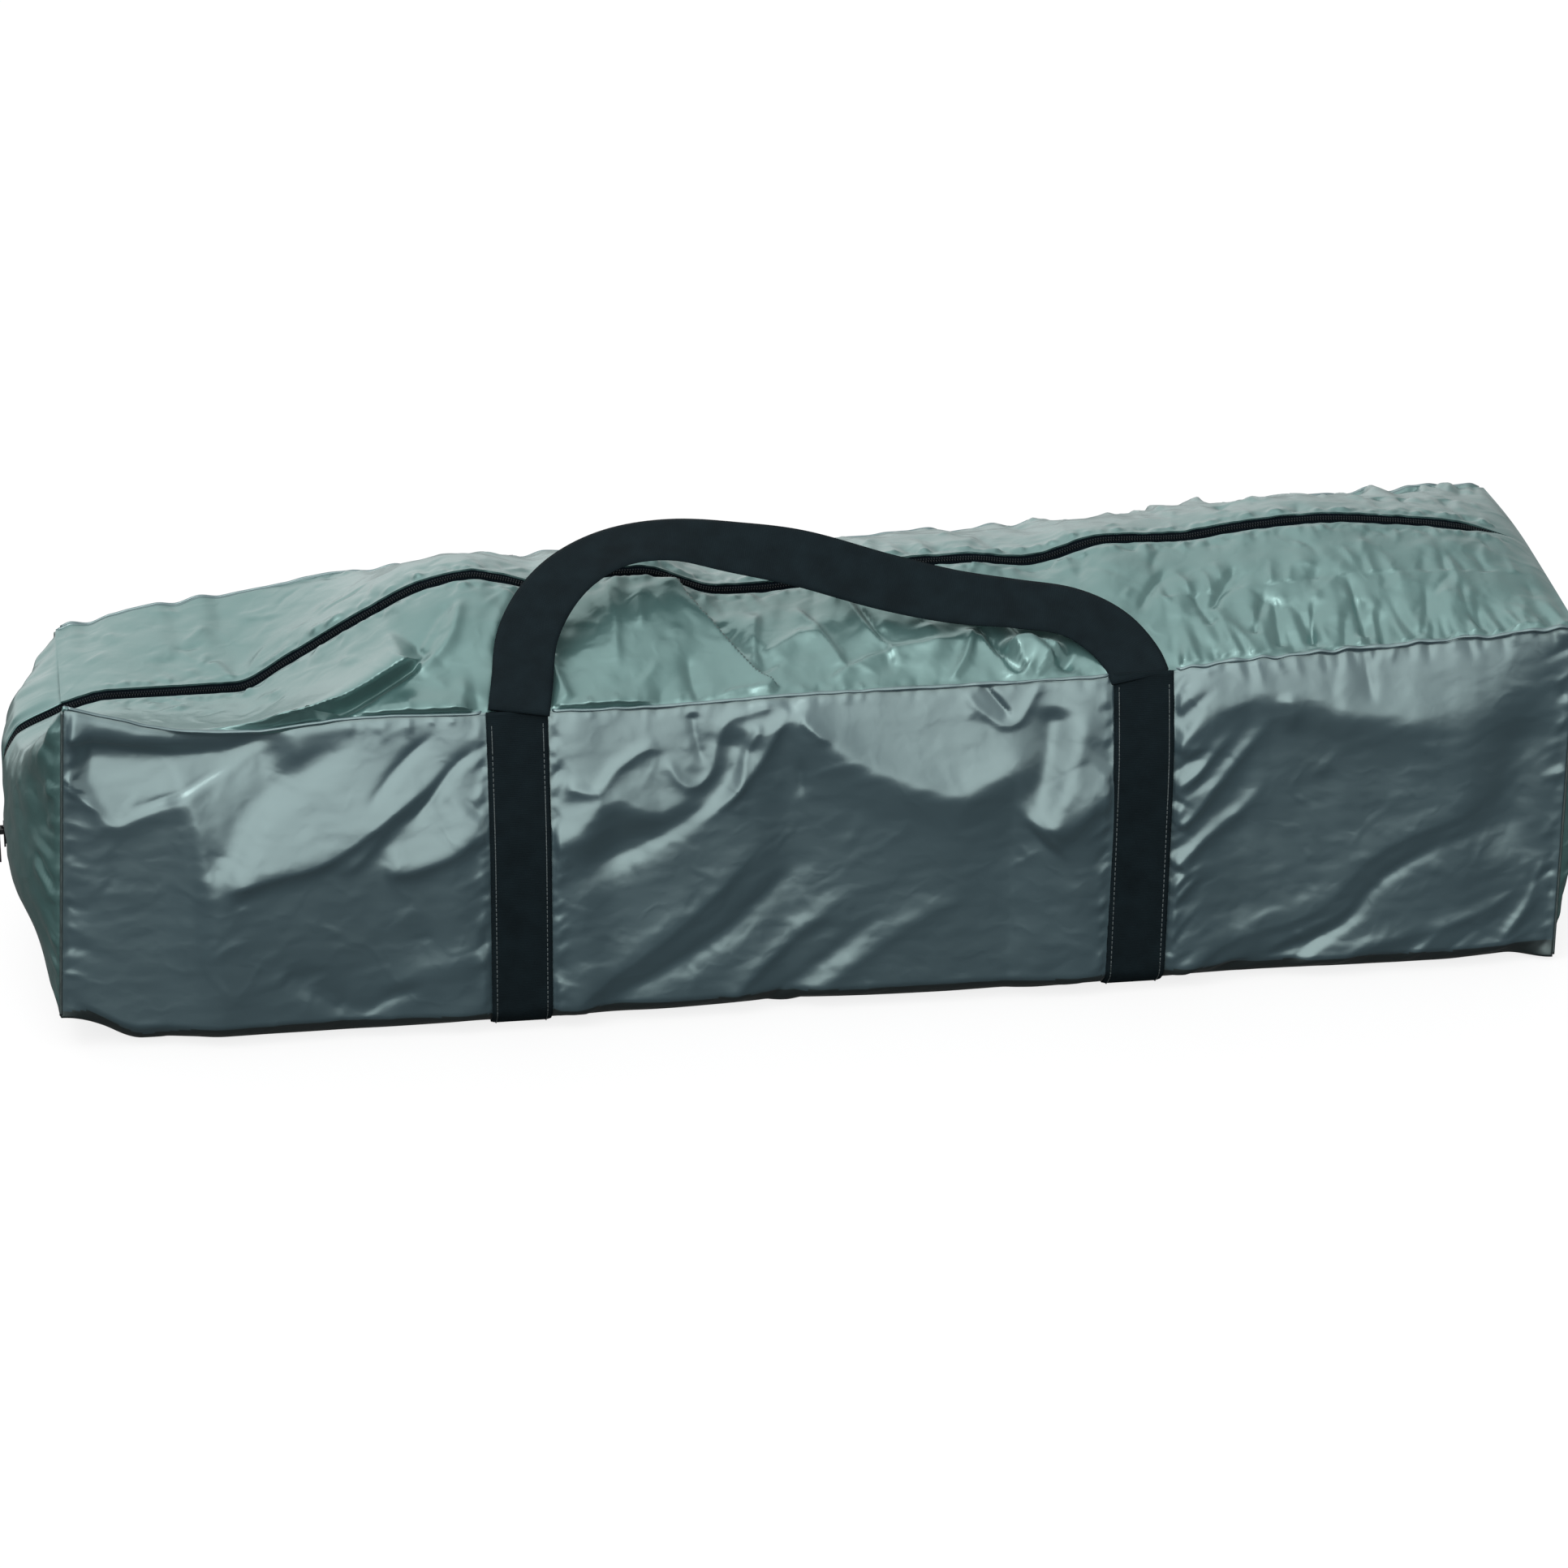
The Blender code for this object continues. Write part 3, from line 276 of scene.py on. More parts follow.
# Heights along the bag, in metres: the two long top seams and the zip
FRONT_SEAM = [
    (-0.470, 0.238), (-0.445, 0.230), (-0.400, 0.218), (-0.362, 0.2145), (-0.283, 0.220),
    (-0.211, 0.2180), (-0.118, 0.2165), (-0.013, 0.2190), (0.120, 0.2195), (0.190, 0.2205),
    (0.260, 0.2260), (0.344, 0.2300), (0.430, 0.2340), (0.470, 0.2370),
]
REAR_SEAM = [
    (-0.470, 0.181), (-0.412, 0.192), (-0.296, 0.208), (-0.200, 0.2165), (0.040, 0.2165),
    (0.204, 0.2220), (0.330, 0.2290), (0.410, 0.2310), (0.470, 0.2290),
]
ZIP_LINE = [
    (-0.470, 0.1815), (-0.440, 0.1885), (-0.361, 0.1890), (-0.328, 0.2060), (-0.280, 0.2340),
    (-0.241, 0.2530), (-0.212, 0.2585), (-0.193, 0.2550), (-0.165, 0.2475), (-0.124, 0.2550),
    (-0.106, 0.2550), (-0.053, 0.2390), (-0.030, 0.2390), (0.066, 0.2515), (0.104, 0.2520),
    (0.140, 0.2480), (0.193, 0.2600), (0.237, 0.2590), (0.279, 0.2640), (0.328, 0.2670),
    (0.383, 0.2625), (0.425, 0.2560), (0.455, 0.2470), (0.470, 0.2380),
]
END_PROFILE = {
    LEFT: [
        (0.00, 0.10), (0.15, 0.38), (0.34, 0.78), (0.41, 0.83), (0.55, 0.87), (0.78, 0.936),
        (0.90, 0.75), (1.00, 0.0),
    ],
    RIGHT: [
        (0.00, 0.10), (0.15, 0.52), (0.35, 0.96), (0.50, 1.00), (0.66, 0.88), (0.84, 0.42),
        (1.00, 0.0),
    ],
}
REAR_PROFILE = [
    (0.00, 0.15), (0.06, 0.42), (0.20, 0.78), (0.42, 1.00), (0.62, 0.98), (0.80, 0.70), (1.00, 0.0),
]
# Height of the front panel's knee along the bag, in metres: above it the fabric leans
# back to the seam, and below it the fabric hangs
KNEE = [
    (-0.470, 0.214), (-0.440, 0.209), (-0.415, 0.203), (-0.398, 0.172), (-0.380, 0.116),
    (-0.352, 0.123),
    (-0.323, 0.127), (-0.302, 0.133), (-0.275, 0.126), (-0.243, 0.130), (-0.218, 0.145),
    (-0.177, 0.135), (-0.157, 0.141), (-0.134, 0.158), (-0.107, 0.147), (-0.075, 0.165),
    (-0.050, 0.186), (-0.027, 0.208), (-0.012, 0.195), (0.022, 0.169), (0.048, 0.157),
    (0.076, 0.150), (0.096, 0.157), (0.112, 0.162), (0.122, 0.140), (0.134, 0.122),
    (0.156, 0.137), (0.178, 0.156), (0.217, 0.180), (0.232, 0.192), (0.262, 0.203),
    (0.298, 0.201), (0.335, 0.189), (0.388, 0.182), (0.434, 0.199), (0.470, 0.212),
]

# Middle line of a handle in the plane that it lies in: place along the bag, reach from
# the seam, and the strap's twist out of that plane in degrees
HANDLE_LINE = [
    (-0.1945, -0.004, 0), (-0.1900, 0.020, 0), (-0.1840, 0.052, 4), (-0.1690, 0.080, 10),
    (-0.1480, 0.1005, 16), (-0.1200, 0.1135, 20), (-0.0860, 0.1160, 16), (-0.0480, 0.1080, 2),
    (-0.0080, 0.0975, -9), (0.0400, 0.0785, -9), (0.0820, 0.0650, -2), (0.1200, 0.0575, 6),
    (0.1540, 0.0495, 6), (0.1760, 0.0340, 0), (0.1890, 0.0140, 0), (0.1935, -0.004, 0),
]

# Folds, in millimetres: height, widths on the left and right of the path, the share of
# its length over which each end fades, how rounded the crest is, and the path itself.
# Paths on the front run along and up the panel, and those on the top run along the bag
# and away from the long seam.
FRONT_FOLDS = [
    # the pocket under the overhanging edge at the left end
    (-9, (10, 20), (0.1, 0.2), 0.4, [
        (-466, 206), (-441, 203), (-411, 200), (-382, 199), (-357, 203), (-330, 211),
    ]),
    # the lit lip above that pocket
    (4, (13, 3), (0.05, 0.5), 0.3, [(-469, 217), (-440, 213), (-412, 210), (-385, 209)]),
    # the swag hanging below that pocket
    (1.9, (4, 8), (0.05, 0.12), 0.15, [
        (-468, 197), (-459, 185), (-450, 166), (-439, 156), (-422, 163), (-399, 174), (-372, 190),
        (-353, 202), (-340, 208),
    ]),
    # a line inside the swag
    (-1.3, (2, 2), (0.3, 0.3), 0.2, [(-433, 165), (-413, 172), (-388, 184), (-362, 197)]),
    # a small tuck at the corner seam
    (2.2, (2, 3.5), (0.05, 0.5), 0.15, [(-469, 190), (-461, 183), (-452, 178)]),
    # a second tuck under it
    (1.6, (2, 3), (0.05, 0.5), 0.15, [(-469, 184), (-455, 172), (-443, 163)]),
    # the dark hollow right of the swag
    (-3.2, (9, 8), (0.15, 0.3), 0.5, [
        (-386, 115), (-372, 139), (-360, 162), (-338, 180), (-308, 200), (-278, 215),
    ]),
    # the first lit lobe
    (4.2, (22, 5), (0.1, 0.35), 0.25, [
        (-382, 112), (-351, 121), (-320, 128), (-295, 143), (-265, 166), (-234, 193),
    ]),
    # the hollow between the first lobes
    (-1.7, (3, 3.5), (0.3, 0.3), 0.25, [(-291, 160), (-274, 181), (-256, 199), (-241, 209)]),
    # the second lit lobe
    (1.8, (8, 4), (0.15, 0.35), 0.2, [(-312, 119), (-296, 127), (-278, 148), (-257, 168), (-234, 189)]),
    # the hollow before the third lobe
    (-1.7, (3, 3), (0.3, 0.2), 0.25, [(-266, 146), (-252, 163), (-237, 183), (-219, 198)]),
    # the third lit lobe
    (3.4, (14, 5), (0.15, 0.1), 0.25, [(-282, 120), (-263, 121), (-242, 128), (-224, 140), (-213, 151)]),
    # a hollow low on the left section
    (-1.8, (9, 7), (0.3, 0.3), 0.4, [(-345, 56), (-318, 33), (-293, 12)]),
    # a pillow at the foot of the left band
    (1.8, (9, 12), (0.3, 0.1), 0.4, [(-283, 32), (-257, 46), (-232, 54), (-214, 59)]),
    # a ripple at the foot of the left band
    (-1.6, (6, 4), (0.3, 0.3), 0.3, [(-303, 13), (-278, 29), (-252, 37)]),
    # a swirl left of the peak
    (1.7, (3, 4), (0.12, 0.15), 0.15, [
        (-105, 186), (-95, 168), (-85, 165), (-76, 173), (-72, 191), (-66, 205), (-53, 210), (-38, 213),
        (-27, 215),
    ]),
    # the slit inside the swirl
    (-1.6, (2.5, 3), (0.1, 0.3), 0.2, [(-87, 211), (-85, 194), (-80, 176)]),
    # the long hollow that falls to the left band
    (-4.5, (8, 13), (0.1, 0.3), 0.4, [
        (-56, 202), (-61, 180), (-74, 159), (-105, 137), (-140, 118), (-171, 99),
    ]),
    # the rib beside it
    (2.2, (3, 4), (0.1, 0.4), 0.15, [(-44, 203), (-54, 185), (-58, 163), (-70, 145)]),
    # the left leg of the peak
    (2.2, (4, 7), (0.05, 0.4), 0.15, [(-27, 214), (-36, 197), (-48, 175), (-66, 153), (-94, 131)]),
    # the right leg of the peak
    (4, (12, 16), (0.05, 0.15), 0.18, [
        (-26, 214), (-16, 198), (-2, 187), (22, 170), (48, 159), (77, 149), (96, 156), (117, 169),
        (130, 186),
    ]),
    # its bright start
    (2.0, (2.5, 3), (0.2, 0.4), 0.2, [(-21, 207), (-12, 197), (0, 187)]),
    # the lit edge beside the left band
    (3.2, (9, 12), (0.05, 0.2), 0.3, [
        (-177, 132), (-157, 139), (-145, 154), (-134, 158), (-120, 150), (-107, 146), (-89, 155),
        (-76, 164),
    ]),
    # a ripple in the lit part
    (2, (3, 4), (0.1, 0.2), 0.25, [(-169, 170), (-147, 166), (-134, 180), (-114, 191), (-104, 186)]),
    # a fine crease below the peak
    (-1.2, (2.5, 2.5), (0.4, 0.4), 0.3, [(-20, 180), (-19, 148)]),
    # the first long fold from the foot
    (2.1, (15, 6), (0.1, 0.35), 0.25, [
        (-173, 7), (-145, 32), (-120, 50), (-79, 86), (-44, 122), (-18, 136),
    ]),
    # the hollow under it
    (-2.2, (6, 7), (0.1, 0.3), 0.35, [(-157, 1), (-120, 27), (-69, 59), (-31, 94), (-8, 116)]),
    # the second long fold
    (2.0, (8, 5), (0.1, 0.4), 0.25, [(-68, 6), (-43, 35), (-2, 72), (24, 93)]),
    # the hollow after it
    (-1.8, (5, 7), (0.1, 0.4), 0.35, [(-44, 1), (-4, 35), (36, 72)]),
    # the third long fold
    (1.3, (8, 6), (0.1, 0.4), 0.3, [(-18, 2), (19, 37), (59, 66), (95, 85)]),
    # the loop near the right band
    (1.6, (3, 3.5), (0.1, 0.1), 0.15, [
        (82, 216), (91, 205), (105, 194), (116, 195), (124, 207), (131, 220),
    ]),
    # the gash inside the loop
    (-2.6, (1.8, 2.6), (0.1, 0.2), 0.15, [(94, 219), (103, 208), (112, 197)]),
    # the hollow below the loop
    (-3.2, (7, 7), (0.15, 0.4), 0.35, [(140, 204), (135, 176), (130, 153), (121, 125)]),
    # the wedge beside the right band
    (4.2, (14, 9), (0.1, 0.1), 0.3, [(132, 113), (156, 134), (180, 155)]),
    # the rib above the wedge
    (2.6, (7, 8), (0.2, 0.1), 0.35, [(162, 201), (153, 170), (143, 140), (134, 117)]),
    # the lit edge of the right section
    (3.2, (12, 15), (0.05, 0.2), 0.3, [
        (218, 163), (220, 180), (233, 191), (248, 200), (265, 205), (286, 201), (304, 198), (322, 191),
        (345, 186), (377, 182), (403, 188),
    ]),
    # a crease down from the seam
    (-1.8, (2.5, 3.5), (0.05, 0.4), 0.3, [(335, 230), (337, 213), (341, 192)]),
    # a tongue below the lit edge
    (1.8, (5, 5), (0.2, 0.5), 0.3, [(286, 206), (289, 189), (286, 175)]),
    # a fold from the right band
    (2.6, (5, 5), (0.04, 0.5), 0.25, [(217, 136), (237, 165), (260, 188)]),
    # a longer fold from the right band
    (3.0, (6, 5), (0.04, 0.5), 0.25, [(218, 116), (243, 146), (273, 184), (283, 196)]),
    # a third fold from the right band
    (2.4, (5, 5), (0.04, 0.5), 0.25, [(218, 87), (234, 106), (259, 125), (279, 151)]),
    # the long fold of the right section
    (1.5, (14, 5), (0.06, 0.3), 0.25, [
        (216, 1), (254, 31), (310, 50), (340, 83), (365, 100), (405, 116), (442, 143),
    ]),
    # the hollow under that fold
    (-2.0, (5, 5), (0.08, 0.3), 0.3, [(220, 1), (281, 17), (327, 36), (351, 67), (382, 88), (421, 104)]),
    # the low fold of the right section
    (0.9, (6, 4), (0.1, 0.2), 0.2, [(284, 1), (344, 21), (383, 30), (423, 42), (446, 61), (457, 79)]),
    # the last fold by the right corner
    (1.0, (4, 4), (0.15, 0.15), 0.2, [(390, 0), (425, 11), (446, 30), (461, 58)]),
    # a streak by the right corner
    (1.3, (3, 3), (0.2, 0.2), 0.2, [(433, 16), (450, 44), (460, 76)]),
    # the hollow along the right corner
    (-4.5, (12, 14), (0.3, 0.3), 0.5, [(446, 190), (438, 150), (432, 110), (430, 70)]),
]
TOP_FOLDS = [
    # the shadowed hollow under the brow
    (-3, (4.5, 7), (0.15, 0.05), 0.4, [
        (-360, 0), (-340, 0), (-317, 0), (-293, 16), (-274, 28), (-251, 40),
    ]),
    # a lit rib right of the hollow
    (3.4, (4, 4.5), (0.1, 0.3), 0.25, [
        (-222, 91), (-225, 69), (-233, 49), (-247, 36), (-269, 20), (-288, 7), (-313, 0),
    ]),
    # a hollow that climbs to the zip
    (-2.8, (4, 5), (0.05, 0.3), 0.3, [(-257, 45), (-248, 57), (-236, 75), (-223, 89)]),
    # a second rib towards the zip
    (2.0, (4, 3), (0.15, 0.3), 0.3, [(-250, 48), (-240, 65), (-228, 86)]),
    # a flat tuck before the left band
    (2.2, (8, 5), (0.3, 0.1), 0.4, [(-284, 10), (-252, 8), (-223, 4)]),
    # creases that climb from the seam on the right
    (-3.2, (2.2, 3.8), (0.2, 0.3), 0.2, [(244, 38), (255, 56), (269, 75)]),
    (-3.2, (2.2, 3.8), (0.1, 0.4), 0.2, [(283, 6), (284, 28), (287, 50)]),
    (-3.2, (2.2, 3.8), (0.1, 0.4), 0.2, [(302, 6), (307, 22), (311, 42)]),
    (-4.0, (2.4, 4.4), (0.1, 0.4), 0.2, [(336, 6), (337, 32), (335, 60)]),
    (-2.4, (2.0, 3.0), (0.1, 0.4), 0.2, [(347, 1), (350, 36)]),
    (-2.2, (2.0, 3.0), (0.1, 0.4), 0.2, [(268, 16), (275, 34), (284, 55)]),
    (-2.6, (2.2, 4.0), (0.3, 0.3), 0.2, [(198, 40), (210, 60), (226, 80)]),
    (-2.0, (2.0, 3.4), (0.1, 0.4), 0.2, [(372, 4), (380, 26), (384, 50)]),
    (-2.0, (2.0, 3.4), (0.1, 0.4), 0.2, [(411, 4), (405, 28), (408, 56)]),
    # the shadow right of the ridge's start
    (-3.5, (8, 3), (0.1, 0.4), 0.3, [(-80, 99), (-66, 70)]),
    (-2.6, (8, 3), (0.1, 0.1), 0.3, [(-66, 72), (-50, 44), (-36, 20)]),
    # soft folds left of the ridge
    (1.8, (3, 5), (0.2, 0.3), 0.2, [(-129, 106), (-127, 65), (-130, 21)]),
    (-2.4, (4, 4), (0.3, 0.1), 0.2, [(-86, 40), (-85, 20), (-83, 0)]),
    (1.8, (3, 4), (0.2, 0.3), 0.2, [(-108, 96), (-112, 53)]),
    (-2, (6, 5), (0.2, 0.2), 0.3, [(-150, 96), (-127, 98)]),
    # a fold beside the left band
    (2.4, (3, 4), (0.1, 0.1), 0.2, [(-170, 44), (-166, 20), (-162, 6)]),
    # an arc over the peak
    (2.2, (3, 2), (0.2, 0.2), 0.15, [(-72, 2), (-54, 6), (-36, 3)]),
    # soft folds right of the ridge
    (3.0, (5, 8), (0.2, 0.3), 0.25, [(-37, 36), (-3, 60)]),
    (2.8, (2.5, 6), (0.2, 0.3), 0.2, [(-35, 86), (-43, 40), (-37, 18)]),
    (3.0, (2.5, 6), (0.2, 0.2), 0.2, [(-13, 86), (3, 45), (13, 12)]),
    (3.0, (3, 5), (0.1, 0.3), 0.2, [(-2, 9), (37, 28), (74, 33), (98, 43)]),
    (-2.6, (2.5, 5), (0.2, 0.3), 0.2, [(26, 79), (36, 43), (41, 9)]),
    # a fold under the handle
    (3.8, (2.2, 5), (0.1, 0.3), 0.15, [(16, 92), (21, 80), (32, 47), (47, 24)]),
    # another fold under the handle
    (2.2, (6, 6), (0.1, 0.3), 0.3, [(67, 51), (70, 28), (49, 10)]),
    # a short rib to the seam
    (3.4, (2.2, 4), (0.1, 0.3), 0.15, [(95, 44), (93, 36), (87, 20), (78, 8), (70, 2)]),
    # the V below the handle
    (3.0, (2.2, 4), (0.1, 0.3), 0.15, [
        (99, 42), (101, 31), (106, 21), (112, 6), (120, 4), (128, 12), (133, 22),
    ]),
    # the hollow inside the V
    (-3.8, (2.5, 3.5), (0.1, 0.2), 0.2, [(99, 50), (105, 33), (112, 17)]),
    # a shadow line to the right band
    (-4, (9, 2), (0.1, 0.15), 0.2, [(114, 58), (129, 32), (142, 14), (154, 4)]),
    # the swelling in front of the handle
    (13, (3.5, 10), (0.25, 0.25), 0.7, [(108, 19), (120, 25), (132, 25), (143, 20), (150, 12)]),
    # a fold up the right section
    (-2.4, (2.2, 4), (0.1, 0.4), 0.2, [(244, 27), (238, 45), (236, 66)]),
    # a fold below the zip at the left band
    (2.0, (4, 4), (0.1, 0.4), 0.3, [(-187, 99), (-200, 68), (-206, 44)]),
    # a slack fold at the right end
    (2.2, (7, 7), (0.15, 0.4), 0.4, [(368, 4), (398, 32), (417, 63)]),
]
REAR_TOP_FOLDS = [
    # a short fold behind the zip
    (2.2, (4, 4), (0.2, 0.2), 0.3, [(-376, 81), (-369, 92), (-363, 112)]),
    # a broad fold of the rear half
    (1.6, (8, 8), (0.3, 0.3), 0.4, [(-286, 118), (-303, 106), (-337, 66)]),
]

# The left end's folds run across the bag and up from the floor
END_FOLDS = [
    # the shaded hollow below the end's shoulder
    (-4.0, (12, 14), (0.3, 0.3), 0.6, [(-84, 192), (-98, 165), (-102, 132)]),
    # the fold that falls from the corner
    (2.4, (3, 3.5), (0.1, 0.4), 0.2, [(-115, 224), (-107, 208), (-98, 188)]),
    # two tucks at the corner seam
    (3.0, (4, 3), (0.1, 0.5), 0.3, [(-116, 184), (-111, 176), (-103, 178)]),
    (2.4, (4, 3), (0.1, 0.5), 0.3, [(-116, 160), (-111, 156), (-105, 157)]),
    # the crease that climbs from the corner seam
    (-2.2, (2.5, 3), (0.3, 0.05), 0.3, [(-97, 134), (-107, 124), (-117, 112)]),
    (1.8, (3, 3), (0.3, 0.05), 0.3, [(-95, 127), (-105, 118), (-117, 105)]),
    # a slack fold on the far side of the zip
    (2.2, (8, 8), (0.3, 0.3), 0.4, [(30, 200), (52, 168), (66, 120)]),
    (-2.0, (7, 7), (0.3, 0.3), 0.4, [(100, 190), (84, 150), (80, 100)]),
]

# Folds of the top that overhang: how far the crest leans along the bag and across it for
# each metre that it rises, and then the fold
OVERHANGS = [
    # the hump's brow at the left end
    ((0, -0.95), (17, (20, 2.8), (0.4, 0.06), 0.12, [
        (-395, 8), (-360, 8), (-325, 11), (-301, 19), (-280, 31), (-264, 40), (-248, 47),
    ])),
    # a lip over the long seam before the left band
    ((0, -0.95), (4.0, (12, 1.4), (0.2, 0.1), 0.2, [(-300, 3), (-252, 3), (-218, 3)])),
    # a lip after the left band
    ((0, -0.95), (3.0, (9, 1.4), (0.1, 0.3), 0.2, [(-174, 3), (-135, 3), (-100, 3)])),
    # the ridge from the zip to the peak
    ((1.0, 0.3), (5.5, (1.6, 10), (0.08, 0.12), 0.12, [
        (-94, 105), (-83, 80), (-71, 61), (-58, 37), (-46, 16), (-30, 5),
    ])),
]


def through(points, places):
    """Values at places on a smooth curve through the points, without overshoot."""
    xs, ys = np.array(points, float).T
    slopes = np.diff(ys) / np.diff(xs)
    tangents = np.empty(len(xs))
    tangents[0], tangents[-1] = slopes[0], slopes[-1]
    before, after = slopes[:-1], slopes[1:]
    same_way = before * after > 0
    total = np.where(same_way, before + after, 1.0)
    tangents[1:-1] = np.where(same_way, 2 * before * after / total, 0.0)
    places = np.clip(places, xs[0], xs[-1])
    index = np.clip(np.searchsorted(xs, places, "right") - 1, 0, len(xs) - 2)
    width = xs[index + 1] - xs[index]
    t = (places - xs[index]) / width
    return (
        (1 + 2 * t) * (1 - t) ** 2 * ys[index]
        + t * (1 - t) ** 2 * width * tangents[index]
        + t * t * (3 - 2 * t) * ys[index + 1]
        + t * t * (t - 1) * width * tangents[index + 1]
    )


def eased(share):
    share = np.clip(share, 0.0, 1.0)
    return share * share * (3 - 2 * share)


def wavy(x, y, size, seed):
    """A smooth random field from -1 to 1, whose bumps are about as wide as the size."""
    x, y = x / size, y / size
    column, row = np.floor(x).astype(int), np.floor(y).astype(int)
    fx, fy = eased(x - column), eased(y - row)

    def corner(i, j):
        mixed = (i * 73856093) ^ (j * 19349663) ^ (seed * 83492791)
        mixed = (mixed ^ (mixed >> 13)) * 1274126177
        return ((mixed ^ (mixed >> 16)) & 65535) / 32767.5 - 1

    low = corner(column, row) * (1 - fx) + corner(column + 1, row) * fx
    high = corner(column, row + 1) * (1 - fx) + corner(column + 1, row + 1) * fx
    return low * (1 - fy) + high * fy


def unit(vectors):
    return vectors / np.maximum(np.linalg.norm(vectors, axis=-1, keepdims=True), 1e-12)


def travelled(points):
    """The distance along a path at each of its points."""
    steps = np.linalg.norm(np.diff(points, axis=0), axis=1)
    return np.concatenate([[0], np.cumsum(steps)])


def normals_of(points):
    """Unit normals of a grid of points, from its neighbours along rows and columns."""
    along = np.gradient(points, axis=1)
    across = np.gradient(points, axis=0)
    return unit(np.cross(along, across))


# Folds

def smooth_path(points, step=4.0):
    """Points a few millimetres apart on a smooth curve through the given ones."""
    points = np.array(points, float)
    ends = np.vstack([2 * points[0] - points[1], points, 2 * points[-1] - points[-2]])
    path = []
    for a, b, c, d in zip(ends, ends[1:], ends[2:], ends[3:]):
        count = max(2, int(np.linalg.norm(c - b) / step))
        for t in np.arange(count) / count:
            path.append(0.5 * (2 * b + (c - a) * t + (2 * a - 5 * b + 4 * c - d) * t * t
                               + (3 * b - a - 3 * c + d) * t ** 3))
    path.append(points[-1])
    return np.array(path)


def add_fold(field, across, up, height, widths, fade, rounded, path):
    """Raises a fold along a path on a field, all in millimetres. The widths are those on
    the left and on the right of the path; a negative height makes a hollow."""
    path = smooth_path(path)
    reach = 4.5 * max(widths)
    low, high = path.min(axis=0) - reach, path.max(axis=0) + reach
    near = (across > low[0]) & (across < high[0]) & (up > low[1]) & (up < high[1])
    if not near.any():
        return
    spots = np.stack([across[near], up[near]], axis=1)
    starts, steps = path[:-1], np.diff(path, axis=0)
    lengths = np.linalg.norm(steps, axis=1)
    total = lengths.sum()
    covered = np.concatenate([[0], np.cumsum(lengths)[:-1]])
    best = np.full(len(spots), 1e9)
    side = np.zeros(len(spots))
    share = np.zeros(len(spots))
    for start, step, length, done in zip(starts, steps, lengths, covered):
        away = spots - start
        t = np.clip(away @ step / length ** 2, 0, 1)
        gap = away - t[:, None] * step
        distance = np.hypot(gap[:, 0], gap[:, 1])
        closer = distance < best
        best = np.where(closer, distance, best)
        side = np.where(closer, step[0] * away[:, 1] - step[1] * away[:, 0], side)
        share = np.where(closer, (done + t * length) / total, share)
    width = np.where(side > 0, widths[0], widths[1])
    scaled = np.sqrt((best / width) ** 2 + rounded ** 2) - rounded
    taper = eased(share / fade[0]) * eased((1 - share) / fade[1])
    field[near] += height * np.exp(-scaled ** 1.35) * taper


def bent_line(rng, start, way, spread, bend, lengths):
    """A line of two short strokes that leaves a start at about an angle, and its length."""
    angle = math.radians(way + rng.uniform(-spread, spread))
    turned = angle + math.radians(rng.uniform(-bend, bend))
    length = rng.uniform(*lengths)
    middle = start + 0.5 * length * np.array([math.cos(angle), math.sin(angle)])
    end = middle + 0.5 * length * np.array([math.cos(turned), math.sin(turned)])
    return [start, middle, end], length


def add_puckers(field, across, up, line, way, lengths, heights, spacing, seed, spread=20.0):
    """Short folds that leave a seam at about an angle in degrees from the bag's length."""
    rng = random.Random(seed)
    line = smooth_path(line, 2.0)
    travel = travelled(line)
    place = spacing * rng.random()
    while place < travel[-1]:
        start = np.array([np.interp(place, travel, line[:, k]) for k in (0, 1)])
        path, length = bent_line(rng, start, way, spread, 25, lengths)
        height = rng.uniform(*heights) * (1 if rng.random() < 0.6 else -0.9)
        width = rng.uniform(1.7, 3.1) * (0.7 + length / 80)
        add_fold(field, across, up, height, (width, 1.5 * width), (0.06, 0.8), 0.25, path)
        place += spacing * rng.uniform(0.6, 1.5)


def add_creases(field, across, up, area, count, way, spread, lengths, heights, seed):
    """Small creases at random places of an area, mostly at one angle."""
    rng = random.Random(seed)
    for _ in range(count):
        start = np.array([rng.uniform(area[0], area[2]), rng.uniform(area[1], area[3])])
        path, _length = bent_line(rng, start, way, spread, 35, lengths)
        height = rng.uniform(*heights) * rng.choice((1, 1, -1))
        width = rng.uniform(1.6, 3.6)
        add_fold(field, across, up, height, (width, 1.8 * width), (0.4, 0.4), 0.25, path)


# The bag's shape without folds

def foot_z(x):
    return FLOOR_LIFT + CORNER_LIFT * eased((-HALF_LENGTH + LIFT_LENGTH - x) / LIFT_LENGTH)


def seam_z(x, side):
    """Height of a long top seam, which is scalloped where the fabric is gathered."""
    x = np.asarray(x, float)
    height, width, seed = SCALLOPS[side]
    scallops = height * wavy(1000 * x, 0 * x, width, seed)
    if side == FRONT:
        scallops = scallops * (0.25 + 0.75 * eased((x - GATHER_START) / GATHER_RUN))
    near_end = eased((HALF_LENGTH - np.abs(x)) / SCALLOP_FADE)
    return through(FRONT_SEAM if side == FRONT else REAR_SEAM, x) + scallops * near_end


def top_base(x, share, side):
    """A point of the top: share 0 is at the long seam, 1 at the zip."""
    seam = seam_z(x, side)
    z = seam + (through(ZIP_LINE, x) - seam) * np.sin(share * math.pi / 2)
    y = side * HALF_DEPTH * (1 - share)
    return np.stack([x, y, z], axis=-1)


def flare(x, share):
    """The foot of the left end stands out a little further than its top."""
    return -FLARE * (1 - share) * eased((FLARE_LENGTH - HALF_LENGTH - x) / FLARE_LENGTH)


